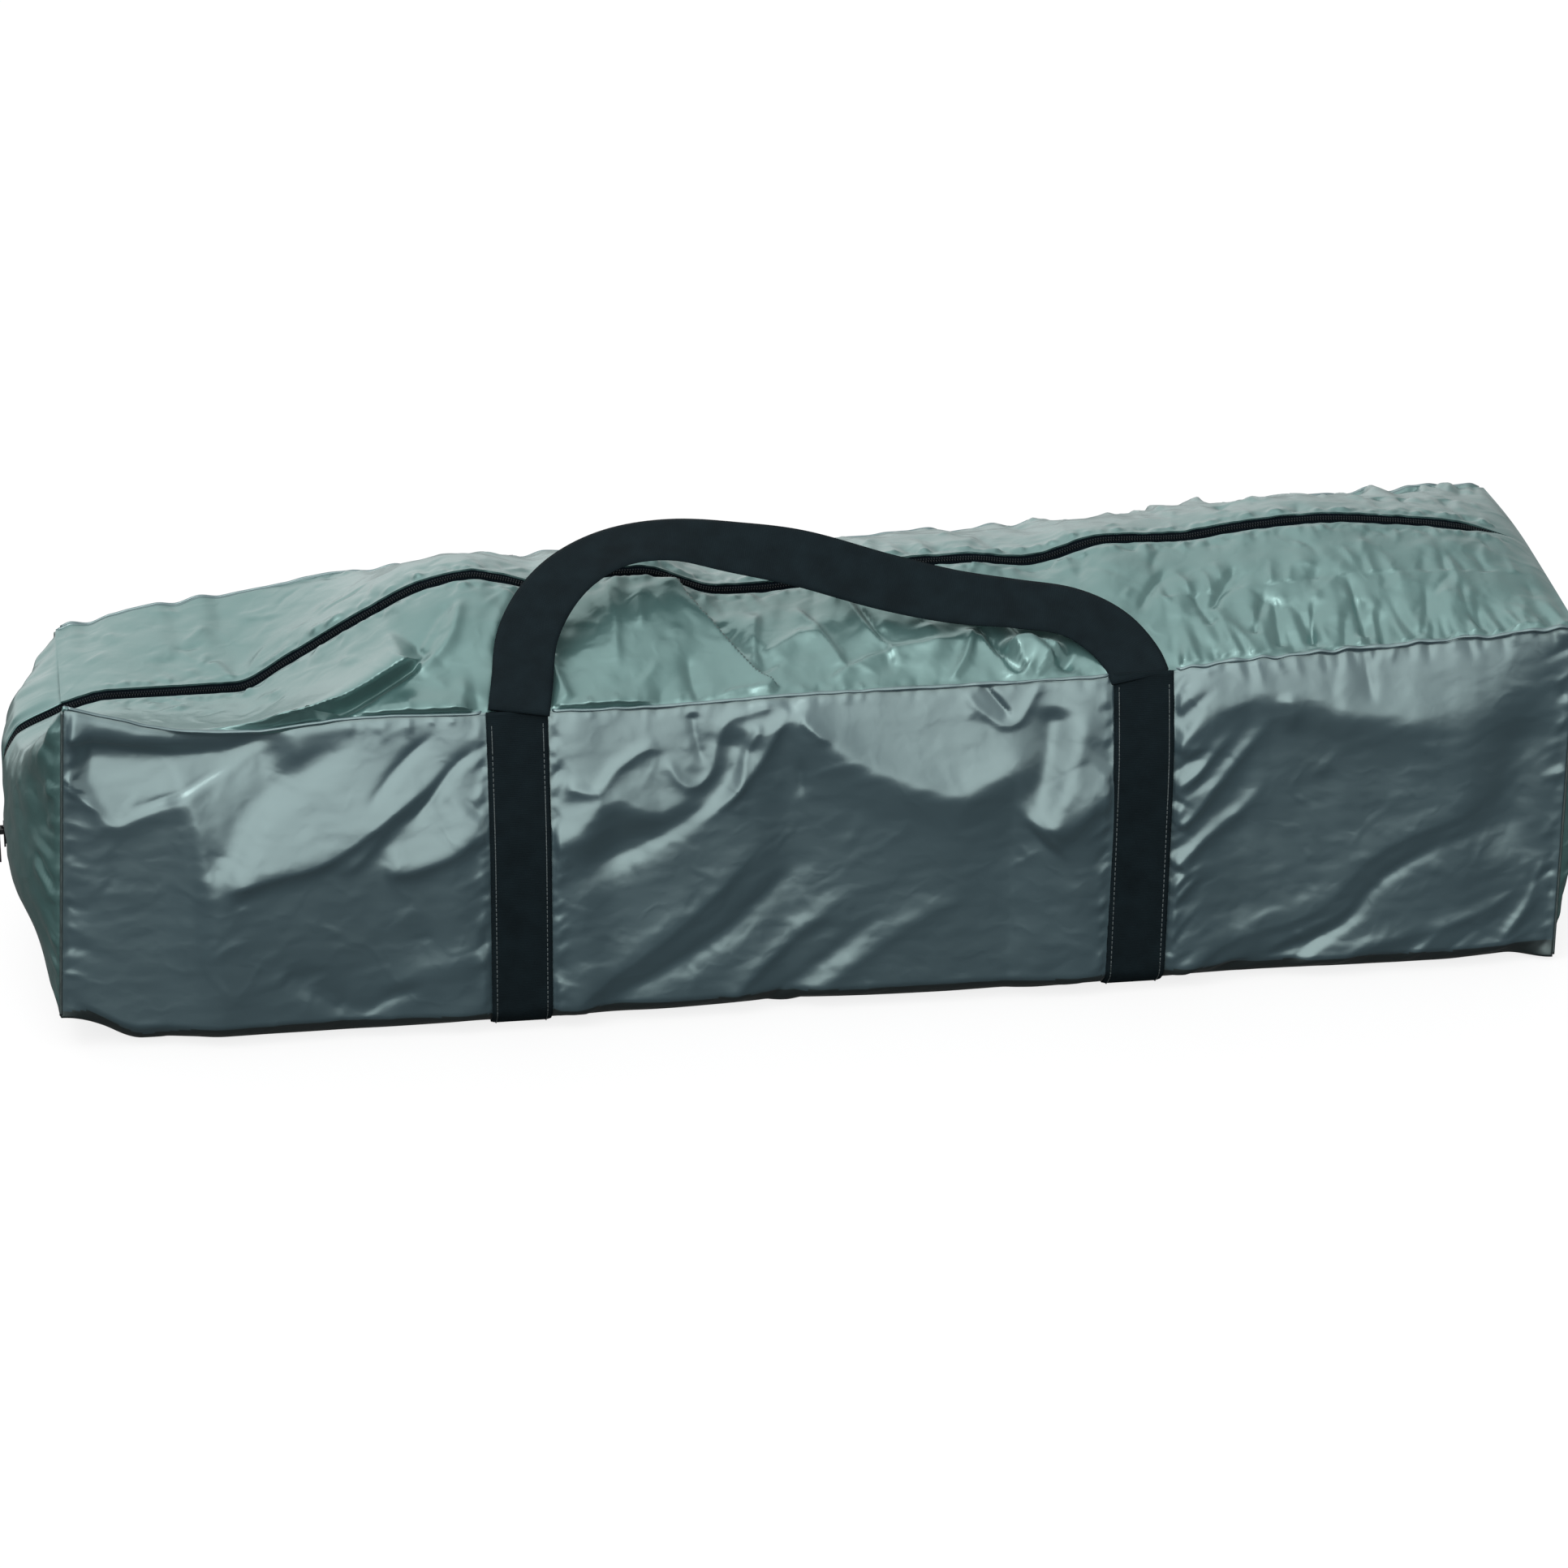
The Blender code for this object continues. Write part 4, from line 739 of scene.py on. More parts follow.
def front_bulge(x, z, high):
    """How far the front panel stands out from the seam's line."""
    knee = through(KNEE, x)
    full = KNEE_DEPTH * (1 - np.exp(-KNEE_SLOPE * (high - knee) / KNEE_DEPTH))
    above = full * (high - z) / (high - knee)
    below = full * (1 - FOOT_PULL * np.clip((knee - z) / knee, 0, 1) ** 1.5)
    gap = np.clip((above - below) / KNEE_ROUND, -30, 30)
    lip = 0.4 * KNEE_ROUND * eased((high - z) / LIP_REACH)
    return above - KNEE_ROUND * np.log1p(np.exp(gap)) + lip


def panel_base(x, share, side):
    """A point of a long panel: share 0 is at the floor, 1 at the seam."""
    low = foot_z(x)
    high = seam_z(x, side)
    z = low + (high - low) * share
    fade = eased((HALF_LENGTH - np.abs(x)) / BULGE_FADE)
    near_end = eased((HALF_LENGTH - np.abs(x)) / FOOT_TUCK_RUN)
    tuck = FOOT_TUCK * near_end * (1 - np.clip((z - low) / FOOT_TUCK_HEIGHT, 0, 1)) ** 1.6
    if side == FRONT:
        bulge = front_bulge(x, z, high)
    else:
        bulge = REAR_BULGE * through(REAR_PROFILE, share)
    y = side * (HALF_DEPTH + bulge * fade - tuck)
    return np.stack([x + flare(x, share), y, z], axis=-1)


def end_top(y, end):
    """Height of an end panel's upper edge."""
    corner = end * HALF_LENGTH
    side_seam = np.where(y < 0, seam_z(corner, FRONT), seam_z(corner, REAR))
    ridge = through(ZIP_LINE, end * HALF_LENGTH)
    share = 1 - np.abs(y) / HALF_DEPTH
    return side_seam + (ridge - side_seam) * np.sin(share * math.pi / 2)


def end_round(y):
    """How much of an end's bulge is left at a place across the bag."""
    return np.clip(1 - (y / HALF_DEPTH) ** 2, 0, 1) ** END_ROUND


def end_base(y, share, end):
    """A point of an end panel: share 0 is at the floor, 1 at its upper edge."""
    low = foot_z(end * HALF_LENGTH)
    z = low + (end_top(y, end) - low) * share
    bulge = END_BULGE[end] * end_round(y) * through(END_PROFILE[end], share)
    x = end * (HALF_LENGTH + bulge)
    return np.stack([x + flare(end * HALF_LENGTH, share), y, z], axis=-1)


# Meshes

def link(name, mesh, material):
    mesh.materials.append(material)
    mesh.shade_smooth()
    made = bpy.data.objects.new(name, mesh)
    bpy.context.scene.collection.objects.link(made)
    return made


def grid_faces(rows, columns, offset=0, keep=None, flip=False, around=False):
    faces = []
    wide = columns if around else columns - 1
    for i in range(rows - 1):
        for j in range(wide):
            if keep is not None and not keep(i, j):
                continue
            a = offset + i * columns + j
            b = offset + i * columns + (j + 1) % columns
            ring = (a, b, b + columns, a + columns)
            faces.append(ring[::-1] if flip else ring)
    return faces


def mesh_of(name, verts, faces, texture):
    """A mesh whose texture places, in metres, are given vertex by vertex."""
    mesh = bpy.data.meshes.new(name)
    mesh.from_pydata(verts.tolist(), [], faces)
    layer = mesh.uv_layers.new(name="weave")
    corners = np.empty(len(mesh.loops), dtype=np.int64)
    mesh.loops.foreach_get("vertex_index", corners)
    layer.data.foreach_set("uv", texture[corners].astype(np.float32).ravel())
    return mesh


def sheet_mesh(name, patches):
    """One mesh from patches of (points, texture places, keep, flip), welded where they meet."""
    verts, faces, places = [], [], []
    offset = 0
    for points, texture, keep, flip in patches:
        rows, columns = points.shape[:2]
        verts.append(points.reshape(-1, 3))
        places.append(texture.reshape(-1, 2))
        faces += grid_faces(rows, columns, offset, keep, flip)
        offset += rows * columns
    mesh = mesh_of(name, np.vstack(verts), faces, np.vstack(places))
    bm = bmesh.new()
    bm.from_mesh(mesh)
    bmesh.ops.delete(bm, geom=[v for v in bm.verts if not v.link_faces], context="VERTS")
    bmesh.ops.remove_doubles(bm, verts=bm.verts, dist=WELD)
    bm.to_mesh(mesh)
    bm.free()
    return mesh


def face_outward(mesh):
    """Turns every face of a closed mesh outward."""
    bm = bmesh.new()
    bm.from_mesh(mesh)
    bmesh.ops.recalc_face_normals(bm, faces=bm.faces)
    bm.to_mesh(mesh)
    bm.free()


def thicken(piece, thickness):
    step = piece.modifiers.new("thickness", "SOLIDIFY")
    step.thickness = thickness
    step.offset = -1
    step.use_rim = True


def tube_mesh(name, rings, texture=None):
    """A closed skin over rings of points, with a cap at each end."""
    count, around = rings.shape[:2]
    verts = rings.reshape(-1, 3)
    faces = grid_faces(count, around, around=True)
    faces.append(tuple(range(around))[::-1])
    faces.append(tuple(range((count - 1) * around, count * around)))
    if texture is None:
        travel = travelled(rings.mean(axis=1))
        girth = np.linalg.norm(rings[0] - np.roll(rings[0], 1, axis=0), axis=1).sum()
        place = np.broadcast_arrays(girth * np.arange(around) / around, travel[:, None])
        texture = np.stack(place, axis=-1).reshape(-1, 2)
    mesh = mesh_of(name, verts, faces, texture)
    face_outward(mesh)
    return mesh


def slab_mesh(name, points, normals, thickness, texture, flip):
    """A sheet with real thickness, shaded with the given outward normals, so that pieces
    cut from one sheet meet without a visible line."""
    rows, columns = points.shape[:2]
    outer, outward = points.reshape(-1, 3), normals.reshape(-1, 3)
    inner = outer - outward * thickness
    count = rows * columns
    index = np.arange(count).reshape(rows, columns)
    loop = np.concatenate([index[0, :-1], index[:-1, -1], index[-1, :0:-1], index[:0:-1, 0]])
    middle = outer.mean(axis=0)
    tangent = unit(np.roll(outer[loop], -1, axis=0) - np.roll(outer[loop], 1, axis=0))
    rim_way = unit(np.cross(tangent, outward[loop]))
    inward = np.einsum("ij,ij->i", rim_way, outer[loop] - middle) < 0
    rim_way[inward] *= -1
    verts = np.vstack([outer, inner, outer[loop], inner[loop]])
    directions = np.vstack([outward, -outward, rim_way, rim_way])
    places = texture.reshape(-1, 2)
    places = np.vstack([places, places, places[loop], places[loop]])
    faces = grid_faces(rows, columns, 0, flip=flip)
    faces += grid_faces(rows, columns, count, flip=not flip)
    start, size = 2 * count, len(loop)
    for k in range(size):
        after = (k + 1) % size
        ring = (start + k, start + size + k, start + size + after, start + after)
        faces.append(ring[::-1] if flip else ring)
    mesh = mesh_of(name, verts, faces, places)
    mesh.shade_smooth()
    mesh.normals_split_custom_set_from_vertices(directions.tolist())
    return mesh


def resampled(points, step):
    """The same path with even spacing."""
    travel = travelled(points)
    count = max(2, int(round(travel[-1] / step)) + 1)
    places = np.linspace(0, travel[-1], count)
    columns = range(points.shape[1])
    return np.stack([np.interp(places, travel, points[:, k]) for k in columns], axis=1)


def ribbon_mesh(name, centres, across, normals, width, thickness):
    """A flat strap: its section is a thin box with eased edges."""
    share = np.linspace(-1, 1, STRAP_COLUMNS)
    edge = np.sqrt(np.clip(1 - np.abs(share) ** STRAP_SQUARENESS, 0, 1))
    edge = edge * (1 - STRAP_EDGE) + STRAP_EDGE
    u = np.concatenate([share, share[::-1]]) * width / 2
    v = np.concatenate([edge, -edge[::-1]]) * thickness / 2
    rings = (centres[:, None] + across[:, None] * u[None, :, None]
             + normals[:, None] * v[None, :, None])
    place = np.broadcast_arrays(u[None, :], travelled(centres)[:, None])
    texture = np.stack(place, axis=-1).reshape(-1, 2)
    return tube_mesh(name, rings, texture)


def boxes_mesh(name, centres, longs, sides, ups, sizes):
    """Many small eased blocks: stitches or zip teeth. The sizes are whole lengths."""
    corners = np.array([
        (-1, -0.6, 0), (-1, 0.6, 0), (1, 0.6, 0), (1, -0.6, 0),
        (-0.75, -0.5, 1), (-0.75, 0.5, 1), (0.75, 0.5, 1), (0.75, -0.5, 1),
    ]) * np.array(sizes) * np.array([0.5, 1.0, 1.0])
    verts = (centres[:, None] + longs[:, None] * corners[None, :, :1]
             + sides[:, None] * corners[None, :, 1:2] + ups[:, None] * corners[None, :, 2:])
    block = [(0, 1, 2, 3), (4, 7, 6, 5), (0, 4, 5, 1), (1, 5, 6, 2), (2, 6, 7, 3), (3, 7, 4, 0)]
    faces = [tuple(8 * k + i for i in face) for k in range(len(centres)) for face in block]
    verts = verts.reshape(-1, 3)
    mesh = mesh_of(name, verts, faces, verts[:, :2])
    face_outward(mesh)
    return mesh


# How the fabric folds

def away_from_bands(x):
    """1 away from the bands, 0 under them."""
    mask = np.ones_like(x)
    for place in BAND_PLACES:
        from_edge = np.abs(x - place) - WEBBING_WIDTH / 2
        mask = mask * eased((from_edge + BAND_OVERLAP) / BAND_MARGIN)
    return mask


def beside_bands(x):
    """Fabric swells, in millimetres, on both sides of a band that holds it in."""
    swell = np.zeros_like(x)
    for place in BAND_PLACES:
        away = np.abs(x - place) - WEBBING_WIDTH / 2
        swell += BAND_SWELL * np.exp(-((away - BAND_SWELL_PLACE) / BAND_SWELL_WIDTH) ** 2)
    return swell


def fold_all(field, across, up, folds):
    for fold in folds:
        add_fold(field, across, up, *fold)


def band_edges():
    """The four edges of the bands on a long panel, as (x in millimetres, side of the band)."""
    for place in BAND_PLACES:
        for hand in (-1, 1):
            yield 1000 * (place + hand * WEBBING_WIDTH / 2), hand


def panel_folds(x, z, side):
    """Heights of a long panel's folds, in metres, from sizes in millimetres."""
    a, u = 1000 * x, 1000 * z
    seed = 10 if side == FRONT else 40
    field = 1.4 * wavy(0.8 * a + 0.6 * u, 0.8 * u - 0.5 * a, 85, seed)
    field += 0.35 * wavy(a + 0.8 * u, a - u, 34, seed + 1)
    field += 0.12 * wavy(0.7 * a + u, 0.7 * a - 2 * u, 13, seed + 2)
    field += beside_bands(x)
    if side == FRONT:
        fold_all(field, a, u, FRONT_FOLDS)
    slant = {FRONT: 48, REAR: 130}[side]
    for number, (edge, hand) in enumerate(band_edges()):
        way = slant if hand > 0 else slant + 180
        last = edge > 200
        tall = (0.8, 1.9) if last else (0.5, 1.2)
        long = (14, 52) if last else (7, 20)
        line = [(edge, 6), (edge, 110), (edge, 214)]
        add_puckers(field, a, u, line, way, long, tall, 6.5, seed + 3 + number, 14)
    area = (-455, 10, 455, 200)
    add_creases(field, a, u, area, 130, 50, 35, (10, 45), (0.15, 0.5), seed + 14)
    half = 1000 * HALF_LENGTH
    left_corner = [(-half, 30), (-half, 120), (-half, 225)]
    right_corner = [(half, 10), (half, 120), (half, 230)]
    foot = [(-430, 3), (0, 3), (200, 3)]
    right_foot = [(225, 3), (340, 3), (460, 3)]
    right_seam = [(215, 226), (330, 231), (465, 237)]
    seam = [(-300, 217), (-60, 217), (190, 221)]
    add_puckers(field, a, u, left_corner, -28, (12, 44), (0.2, 0.8), 10.0, seed + 8)
    add_puckers(field, a, u, right_corner, 215, (8, 30), (0.5, 1.6), 12.0, seed + 9)
    add_puckers(field, a, u, foot, 55, (8, 26), (0.4, 1.2), 13.0, seed + 10)
    add_puckers(field, a, u, right_foot, 38, (30, 80), (0.4, 1.3), 9.0, seed + 11, 8)
    add_puckers(field, a, u, right_seam, -85, (6, 24), (0.8, 1.8), 9.0, 71 + side)
    add_puckers(field, a, u, seam, -85, (5, 16), (0.3, 1.0), 11.0, 74 + side)
    return field / 1000


def top_folds(x, s, side):
    """Heights of the top's folds, in metres; s is the distance from the long seam."""
    a, u = 1000 * x, 1000 * s
    field = 1.5 * wavy(a + 0.5 * u, u - 0.3 * a, 70, 21 + side)
    field += 0.6 * wavy(a - 0.7 * u, u, 26, 31 + side)
    field += 0.3 * wavy(a + 0.4 * u, u - 0.5 * a, 11, 35 + side)
    fold_all(field, a, u, TOP_FOLDS if side == FRONT else REAR_TOP_FOLDS)
    right_seam = [(215, 1), (340, 1), (465, 1)]
    right_middle = [(215, 52), (340, 56), (455, 60)]
    seam = [(-300, 1), (0, 1), (190, 1)]
    zip_edge = [(-330, 109), (0, 109), (450, 109)]
    ridge = [(-170, 104), (-60, 106), (180, 106)]
    whole_zip = [(-440, 107), (0, 107), (450, 107)]
    add_puckers(field, a, u, right_seam, 92, (16, 62), (1.3, 3.0), 7.5, 71 + side)
    add_puckers(field, a, u, right_middle, 92, (20, 45), (0.8, 2.0), 13.0, 76 + side)
    add_puckers(field, a, u, seam, 92, (6, 22), (0.4, 1.2), 11.0, 74 + side)
    add_puckers(field, a, u, zip_edge, -90, (8, 30), (0.6, 1.6), 8.0, 77 + side)
    add_puckers(field, a, u, ridge, -85, (35, 85), (0.8, 1.9), 17.0, 79 + side)
    add_puckers(field, a, u, whole_zip, -90, (4, 13), (0.5, 1.3), 5.0, 88 + side)
    area = (-450, 5, 450, 105)
    add_creases(field, a, u, area, 170, 100, 70, (10, 45), (0.3, 1.2), 95 + side)
    return field / 1000


def end_folds(y, z, end):
    """Heights of an end panel's folds, in metres."""
    a, u = 1000 * y, 1000 * z
    field = 2.2 * wavy(a + 0.6 * u, u - 0.4 * a, 60, 51 + end)
    field += 0.8 * wavy(a - u, u, 22, 61 + end)
    field += 0.3 * wavy(a - 0.4 * u, u + 0.5 * a, 10, 66 + end)
    if end == LEFT:
        fold_all(field, a, u, END_FOLDS)
    half = 1000 * HALF_DEPTH
    for hand in (-1, 1):
        edge = [(hand * half, 25), (hand * half, 120), (hand * half, 220)]
        way = 150 if hand > 0 else 30
        seed = end + 2 * hand
        add_puckers(field, a, u, edge, way, (10, 34), (0.6, 1.8), 11.0, 81 + seed)
        add_puckers(field, a, u, edge, way - 60 * hand, (8, 24), (0.5, 1.2), 17.0, 91 + seed)
    return field / 1000


# The fabric

def along_bag():
    return np.linspace(-HALF_LENGTH, HALF_LENGTH, int(2 * HALF_LENGTH / STEP) + 1)


def up_panel():
    return np.linspace(0, 1, int(SEAM_HEIGHT / STEP) + 1)


def across_end():
    return np.linspace(-HALF_DEPTH, HALF_DEPTH, 2 * int(HALF_DEPTH / STEP) + 1)


def long_panel_grid(side):
    x, share = np.meshgrid(along_bag(), up_panel())
    base = panel_base(x, share, side)
    z = base[..., 2]
    from_top = (1 - share) * SEAM_HEIGHT
    from_end = HALF_LENGTH - np.abs(x)
    mask = eased(from_top / SEAM_FADE) * eased(from_end / CORNER_FADE)
    mask = mask * eased((z - foot_z(x)) / FOOT_FADE)
    heights = panel_folds(x, z, side) * mask * away_from_bands(x)
    groove = SEAM_GROOVE * np.exp(-(from_top / SEAM_GROOVE_WIDTH) ** 2)
    heights = heights - groove * eased(from_top / SEAM_GROOVE_FADE)
    outward = normals_of(base) * (1 if side == FRONT else -1)
    return base + outward * heights[..., None], np.stack([x, z], axis=-1)


def end_grid(end):
    y, share = np.meshgrid(across_end(), up_panel())
    base = end_base(y, share, end)
    z = base[..., 2]
    from_top = (1 - share) * SEAM_HEIGHT
    from_side = HALF_DEPTH - np.abs(y)
    mask = eased(from_top / END_PANEL_FADE) * eased(from_side / END_PANEL_FADE)
    mask = mask * eased(share * 0.2 / FOOT_FADE)
    if end == LEFT:
        mask = mask * eased((np.abs(y) - SLOT_HALF) / SLOT_FADE)
    outward = normals_of(base) * end
    points = base + outward * (end_folds(y, z, end) * mask)[..., None]
    return points, np.stack([y, z], axis=-1)


def base_grid():
    x, y = np.meshgrid(along_bag(), across_end())
    near_end = eased((np.abs(x) - HALF_LENGTH + FOOT_TUCK_RUN) / FOOT_TUCK_RUN)
    front = panel_base(x, np.zeros_like(x), FRONT)[..., 1]
    rear = panel_base(x, np.zeros_like(x), REAR)[..., 1]
    end = np.sign(x)
    bulge = np.where(end < 0, END_BULGE[LEFT], END_BULGE[RIGHT]) * END_PROFILE[LEFT][0][1]
    out = bulge * end_round(y) * near_end
    share = (y + HALF_DEPTH) / (2 * HALF_DEPTH)
    along = x + end * out + flare(x, 0)
    points = np.stack([along, front + (rear - front) * share, foot_z(x)], axis=-1)
    return points, np.stack([x, y], axis=-1)


def assign_fabrics(shell, foot_shade_material, lit_end_material):
    """A near-black band over the base and up the foot of the walls is painted shade where the bag meets
    the floor; the ends get the top's lighter copy of the fabric, which is painted light.
    """
    mesh = shell.data
    mesh.materials.append(foot_shade_material)
    mesh.materials.append(lit_end_material)
    centres = np.empty(3 * len(mesh.polygons))
    mesh.polygons.foreach_get("center", centres)
    x, y, z = centres.reshape(-1, 3).T
    end = np.sign(x)
    corner = end * HALF_LENGTH
    low = foot_z(corner)
    share = (z - low) / (end_top(np.clip(y, -HALF_DEPTH, HALF_DEPTH), end) - low)
    on_end = end * (x - flare(corner, share)) > HALF_LENGTH + 0.0001
    # the painted shade at the foot is lower at the lifted left corner and full height elsewhere
    grown = eased((x - FOOT_SHADE_START) / FOOT_SHADE_RUN)
    foot_shade_height = FOOT_SHADE_HEIGHT * (LEAST_FOOT_SHADE + (1 - LEAST_FOOT_SHADE) * grown)
    in_foot_shade = z < foot_z(x) + foot_shade_height
    chosen = np.where(in_foot_shade, 1, np.where(on_end, 2, 0)).astype(np.int32)
    mesh.polygons.foreach_set("material_index", chosen)


def build_shell(material, foot_shade_material, lit_end_material):
    patches = []
    for side in (FRONT, REAR):
        points, texture = long_panel_grid(side)
        patches.append((points, texture, None, side == REAR))
    for end in (LEFT, RIGHT):
        points, texture = end_grid(end)
        keep = None
        if end == LEFT:
            # the slot for the zip stays open
            def keep(i, j, points=points):
                middle = points[i:i + 2, j:j + 2].mean(axis=(0, 1))
                return abs(middle[1]) > SLOT_HALF - SLOT_OVERLAP or middle[2] < ZIP_FOOT
        patches.append((points, texture, keep, end == LEFT))
    points, texture = base_grid()
    patches.append((points, texture, None, True))
    shell = link("bag_shell", sheet_mesh("bag_shell", patches), material)
    assign_fabrics(shell, foot_shade_material, lit_end_material)
    thicken(shell, FABRIC)
    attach(shell, "bag")
    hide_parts("bag_front_panel", "bag_rear_panel", "bag_left_end_panel",
                "bag_right_end_panel", "bag_base_panel")


def zip_gap(x):
    """Half the width of the slot in the fabric that shows the zip."""
    nubs = SLOT_NUBS * wavy(1000 * x, 0 * x, 5.0, 15)
    return (SLOT_HALF + nubs) * eased((ZIP_RIGHT_END - x) / SLOT_TAPER)


def top_half(side):
    """Points, outward normals and texture places of the top on one side of the zip."""
    x, share = np.meshgrid(along_bag(), np.linspace(0, 1, int(HALF_DEPTH / STEP) + 1))
    wander = EDGE_WANDER * wavy(1000 * x, 0 * x, EDGE_WANDER_WIDTH, 5 + side)
    wander = wander * eased((x - EDGE_WANDER_START) / EDGE_WANDER_RUN)
    wander = wander * eased(zip_gap(x) / EDGE_WANDER_SLOT)
    near_edge = eased((share - (1 - EDGE_WANDER_DEPTH)) / EDGE_WANDER_DEPTH)
    last = 1 - (zip_gap(x) + wander * near_edge) / HALF_DEPTH
    share = share * last
    base = top_base(x, share, side)
    s = share * HALF_DEPTH
    to_zip = last * HALF_DEPTH - s
    mask = eased(s / SEAM_FADE) * eased((HALF_LENGTH - np.abs(x)) / END_PANEL_FADE)
    mask = mask * eased(to_zip / END_PANEL_FADE)
    hand = 1 if side == FRONT else -1
    # beside the zip no fold dips as low as its tape
    deepest = -DEEPEST_FOLD - DEEPER_PER_METRE * np.maximum(to_zip - SHALLOW_RUN, 0)
    heights = np.maximum(top_folds(x, s, side) * mask, deepest)
    points = base + hand * normals_of(base) * heights[..., None]
    if side == FRONT:
        for (along, across), fold in OVERHANGS:
            rise = np.zeros_like(x)
            add_fold(rise, 1000 * x, 1000 * s, *fold)
            lean = np.array([along, across, -OVERHANG_SINK])
            points = points + (hand * normals_of(base) + lean) * (mask * rise / 1000)[..., None]
    return points, hand * normals_of(points), np.stack([x, s], axis=-1)


def cut_columns(along, low, high):
    """The columns of a grid whose places along the bag lie between two."""
    first = int(np.argmin(np.abs(along - low)))
    last = int(np.argmin(np.abs(along - high)))
    return slice(first, last + 1)


def follow(piece, side, zone):
    """The middle of a top half turns with its flap; its ends stay where they are built."""
    flap = f"{SIDE_NAME[side]}_flap"
    if zone == "middle":
        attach(piece, flap)
        return
    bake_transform(piece)


def build_tops(material):
    for side in (FRONT, REAR):
        points, normals, texture = top_half(side)
        name = SIDE_NAME[side]
        stands_for = {"left": f"top_corner_{name}_left", "middle": f"top_{name}_flap",
                      "right": f"top_corner_{name}_right"}
        for zone, low, high in ZONES:
            cut = cut_columns(along_bag(), low, high)
            mesh = slab_mesh(f"top_{name}_{zone}", points[:, cut], normals[:, cut], FABRIC,
                             texture[:, cut], side == REAR)
            piece = link(f"top_{name}_{zone}", mesh, material)
            follow(piece, side, zone)
            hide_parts(stands_for[zone])


def cord_rings(path, radius):
    """Rings round a path, of one radius or of one each."""
    radius = np.broadcast_to(radius, len(path))
    tangents = unit(np.gradient(path, axis=0))
    helper = np.where(np.abs(tangents[:, 2:3]) > 0.9, (1.0, 0.0, 0.0), (0.0, 0.0, 1.0))
    sides = unit(np.cross(tangents, helper))
    ups = np.cross(sides, tangents)
    angles = np.linspace(0, 2 * math.pi, CORD_SIDES, endpoint=False)[None, :, None]
    out = np.cos(angles) * sides[:, None] + np.sin(angles) * ups[:, None]
    return path[:, None] + radius[:, None, None] * out


def build_seams(material):
    """The turned allowance that stands up a little along the two long top seams."""
    x = along_bag()[2:-2]
    for side in (FRONT, REAR):
        open_run = away_from_bands(x)
        swell = SEAM_CORD_SWELL * wavy(1000 * x, 0 * x, SEAM_CORD_SWELL_WIDTH, 3 + side)
        puffed = SEAM_CORD + swell * eased((x - SWELL_START) / SWELL_RUN)
        puffed *= LEAST_SEAM_CORD + (1 - LEAST_SEAM_CORD) * open_run
        inset = SEAM_CORD_OUT - SEAM_CORD_INSET * (1 - open_run)
        path = np.stack([x, 0 * x + side * (HALF_DEPTH + inset), seam_z(x, side)], axis=1)
        name = f"{SIDE_NAME[side]}_seam_fold"
        piece = link(name, tube_mesh(name, cord_rings(path, puffed)), material)
        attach(piece, "bag")
        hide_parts(f"{SIDE_NAME[side]}_top_seam")


def build_gussets(material):
    """Strips inside the long seams, from the bag's side of the seam to the underside of the top half;
    every piece stays where it is built."""
    for side in (FRONT, REAR):
        points, normals, texture = top_half(side)
        under = points[GUSSET_ROW] - normals[GUSSET_ROW] * (FABRIC + GUSSET_GAP)
        x = along_bag()
        y_low = side * (HALF_DEPTH - FABRIC - GUSSET_INSET)
        fixed = np.stack([x, np.full_like(x, y_low), seam_z(x, side) - GUSSET_DROP], axis=1)
        share = np.linspace(0, 1, GUSSET_ROWS)[:, None, None]
        sag = GUSSET_SAG * np.sin(math.pi * share) * np.array([0.0, 0.0, -1.0])
        strip = fixed + (under - fixed) * share + sag
        facing = normals_of(strip) * (1 if side == FRONT else -1)
        for zone, low, high in ZONES:
            cut = cut_columns(x, low, high)
            name = f"gusset_{SIDE_NAME[side]}_{zone}"
            mesh = slab_mesh(name, strip[:, cut], facing[:, cut], GUSSET_CLOTH,
                             texture[:GUSSET_ROWS, cut], side == REAR)
            piece = link(name, mesh, material)
            if zone == "middle":
                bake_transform(piece)
                continue
            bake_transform(piece)


def build_corner_seams(material):
    """The bound seams that run up the four corners of the bag."""
    share = np.linspace(*CORNER_CORD_RUN, PATH_POINTS)
    for end in (LEFT, RIGHT):
        for side in (FRONT, REAR):
            corner = panel_base(np.full_like(share, end * HALF_LENGTH), share, side)
            path = corner + (end * CORNER_CORD_OUT, side * CORNER_CORD_OUT, 0)
            name = f"corner_seam_{SIDE_NAME[side]}_{END_NAME[end]}"
            piece = link(name, tube_mesh(name, cord_rings(path, CORNER_CORD)), material)
            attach(piece, "bag")


# Webbing

def girth_path(place, offset):
    """The band's way up the front, under the base and up the rear, and its outward side."""
    share = np.linspace(1, 0, PATH_POINTS)
    x = np.full_like(share, place)
    front = panel_base(x, share, FRONT)
    rear = panel_base(x, share[::-1] * REAR_BAND_TOP, REAR)
    above_seam = front[:1] + (0, 0, BAND_REACH)
    path = resampled(np.vstack([above_seam, front, rear]), BAND_STEP)
    tangents = unit(np.gradient(path, axis=0))
    outward = np.cross(tangents, (1.0, 0.0, 0.0))
    if outward[5, 1] > 0:
        outward = -outward
    return path + outward * offset, outward


def stitch_row(path, across, normals, offset, lift):
    """Places and directions of a row of stitches beside a strap's middle line."""
    rows = path + across * offset + normals * lift
    spaced = resampled(np.hstack([rows, normals]), STITCH_PITCH)
    places, ups = spaced[:, :3], unit(spaced[:, 3:])
    longs = unit(np.gradient(places, axis=0))
    return places, longs, np.cross(ups, longs), ups


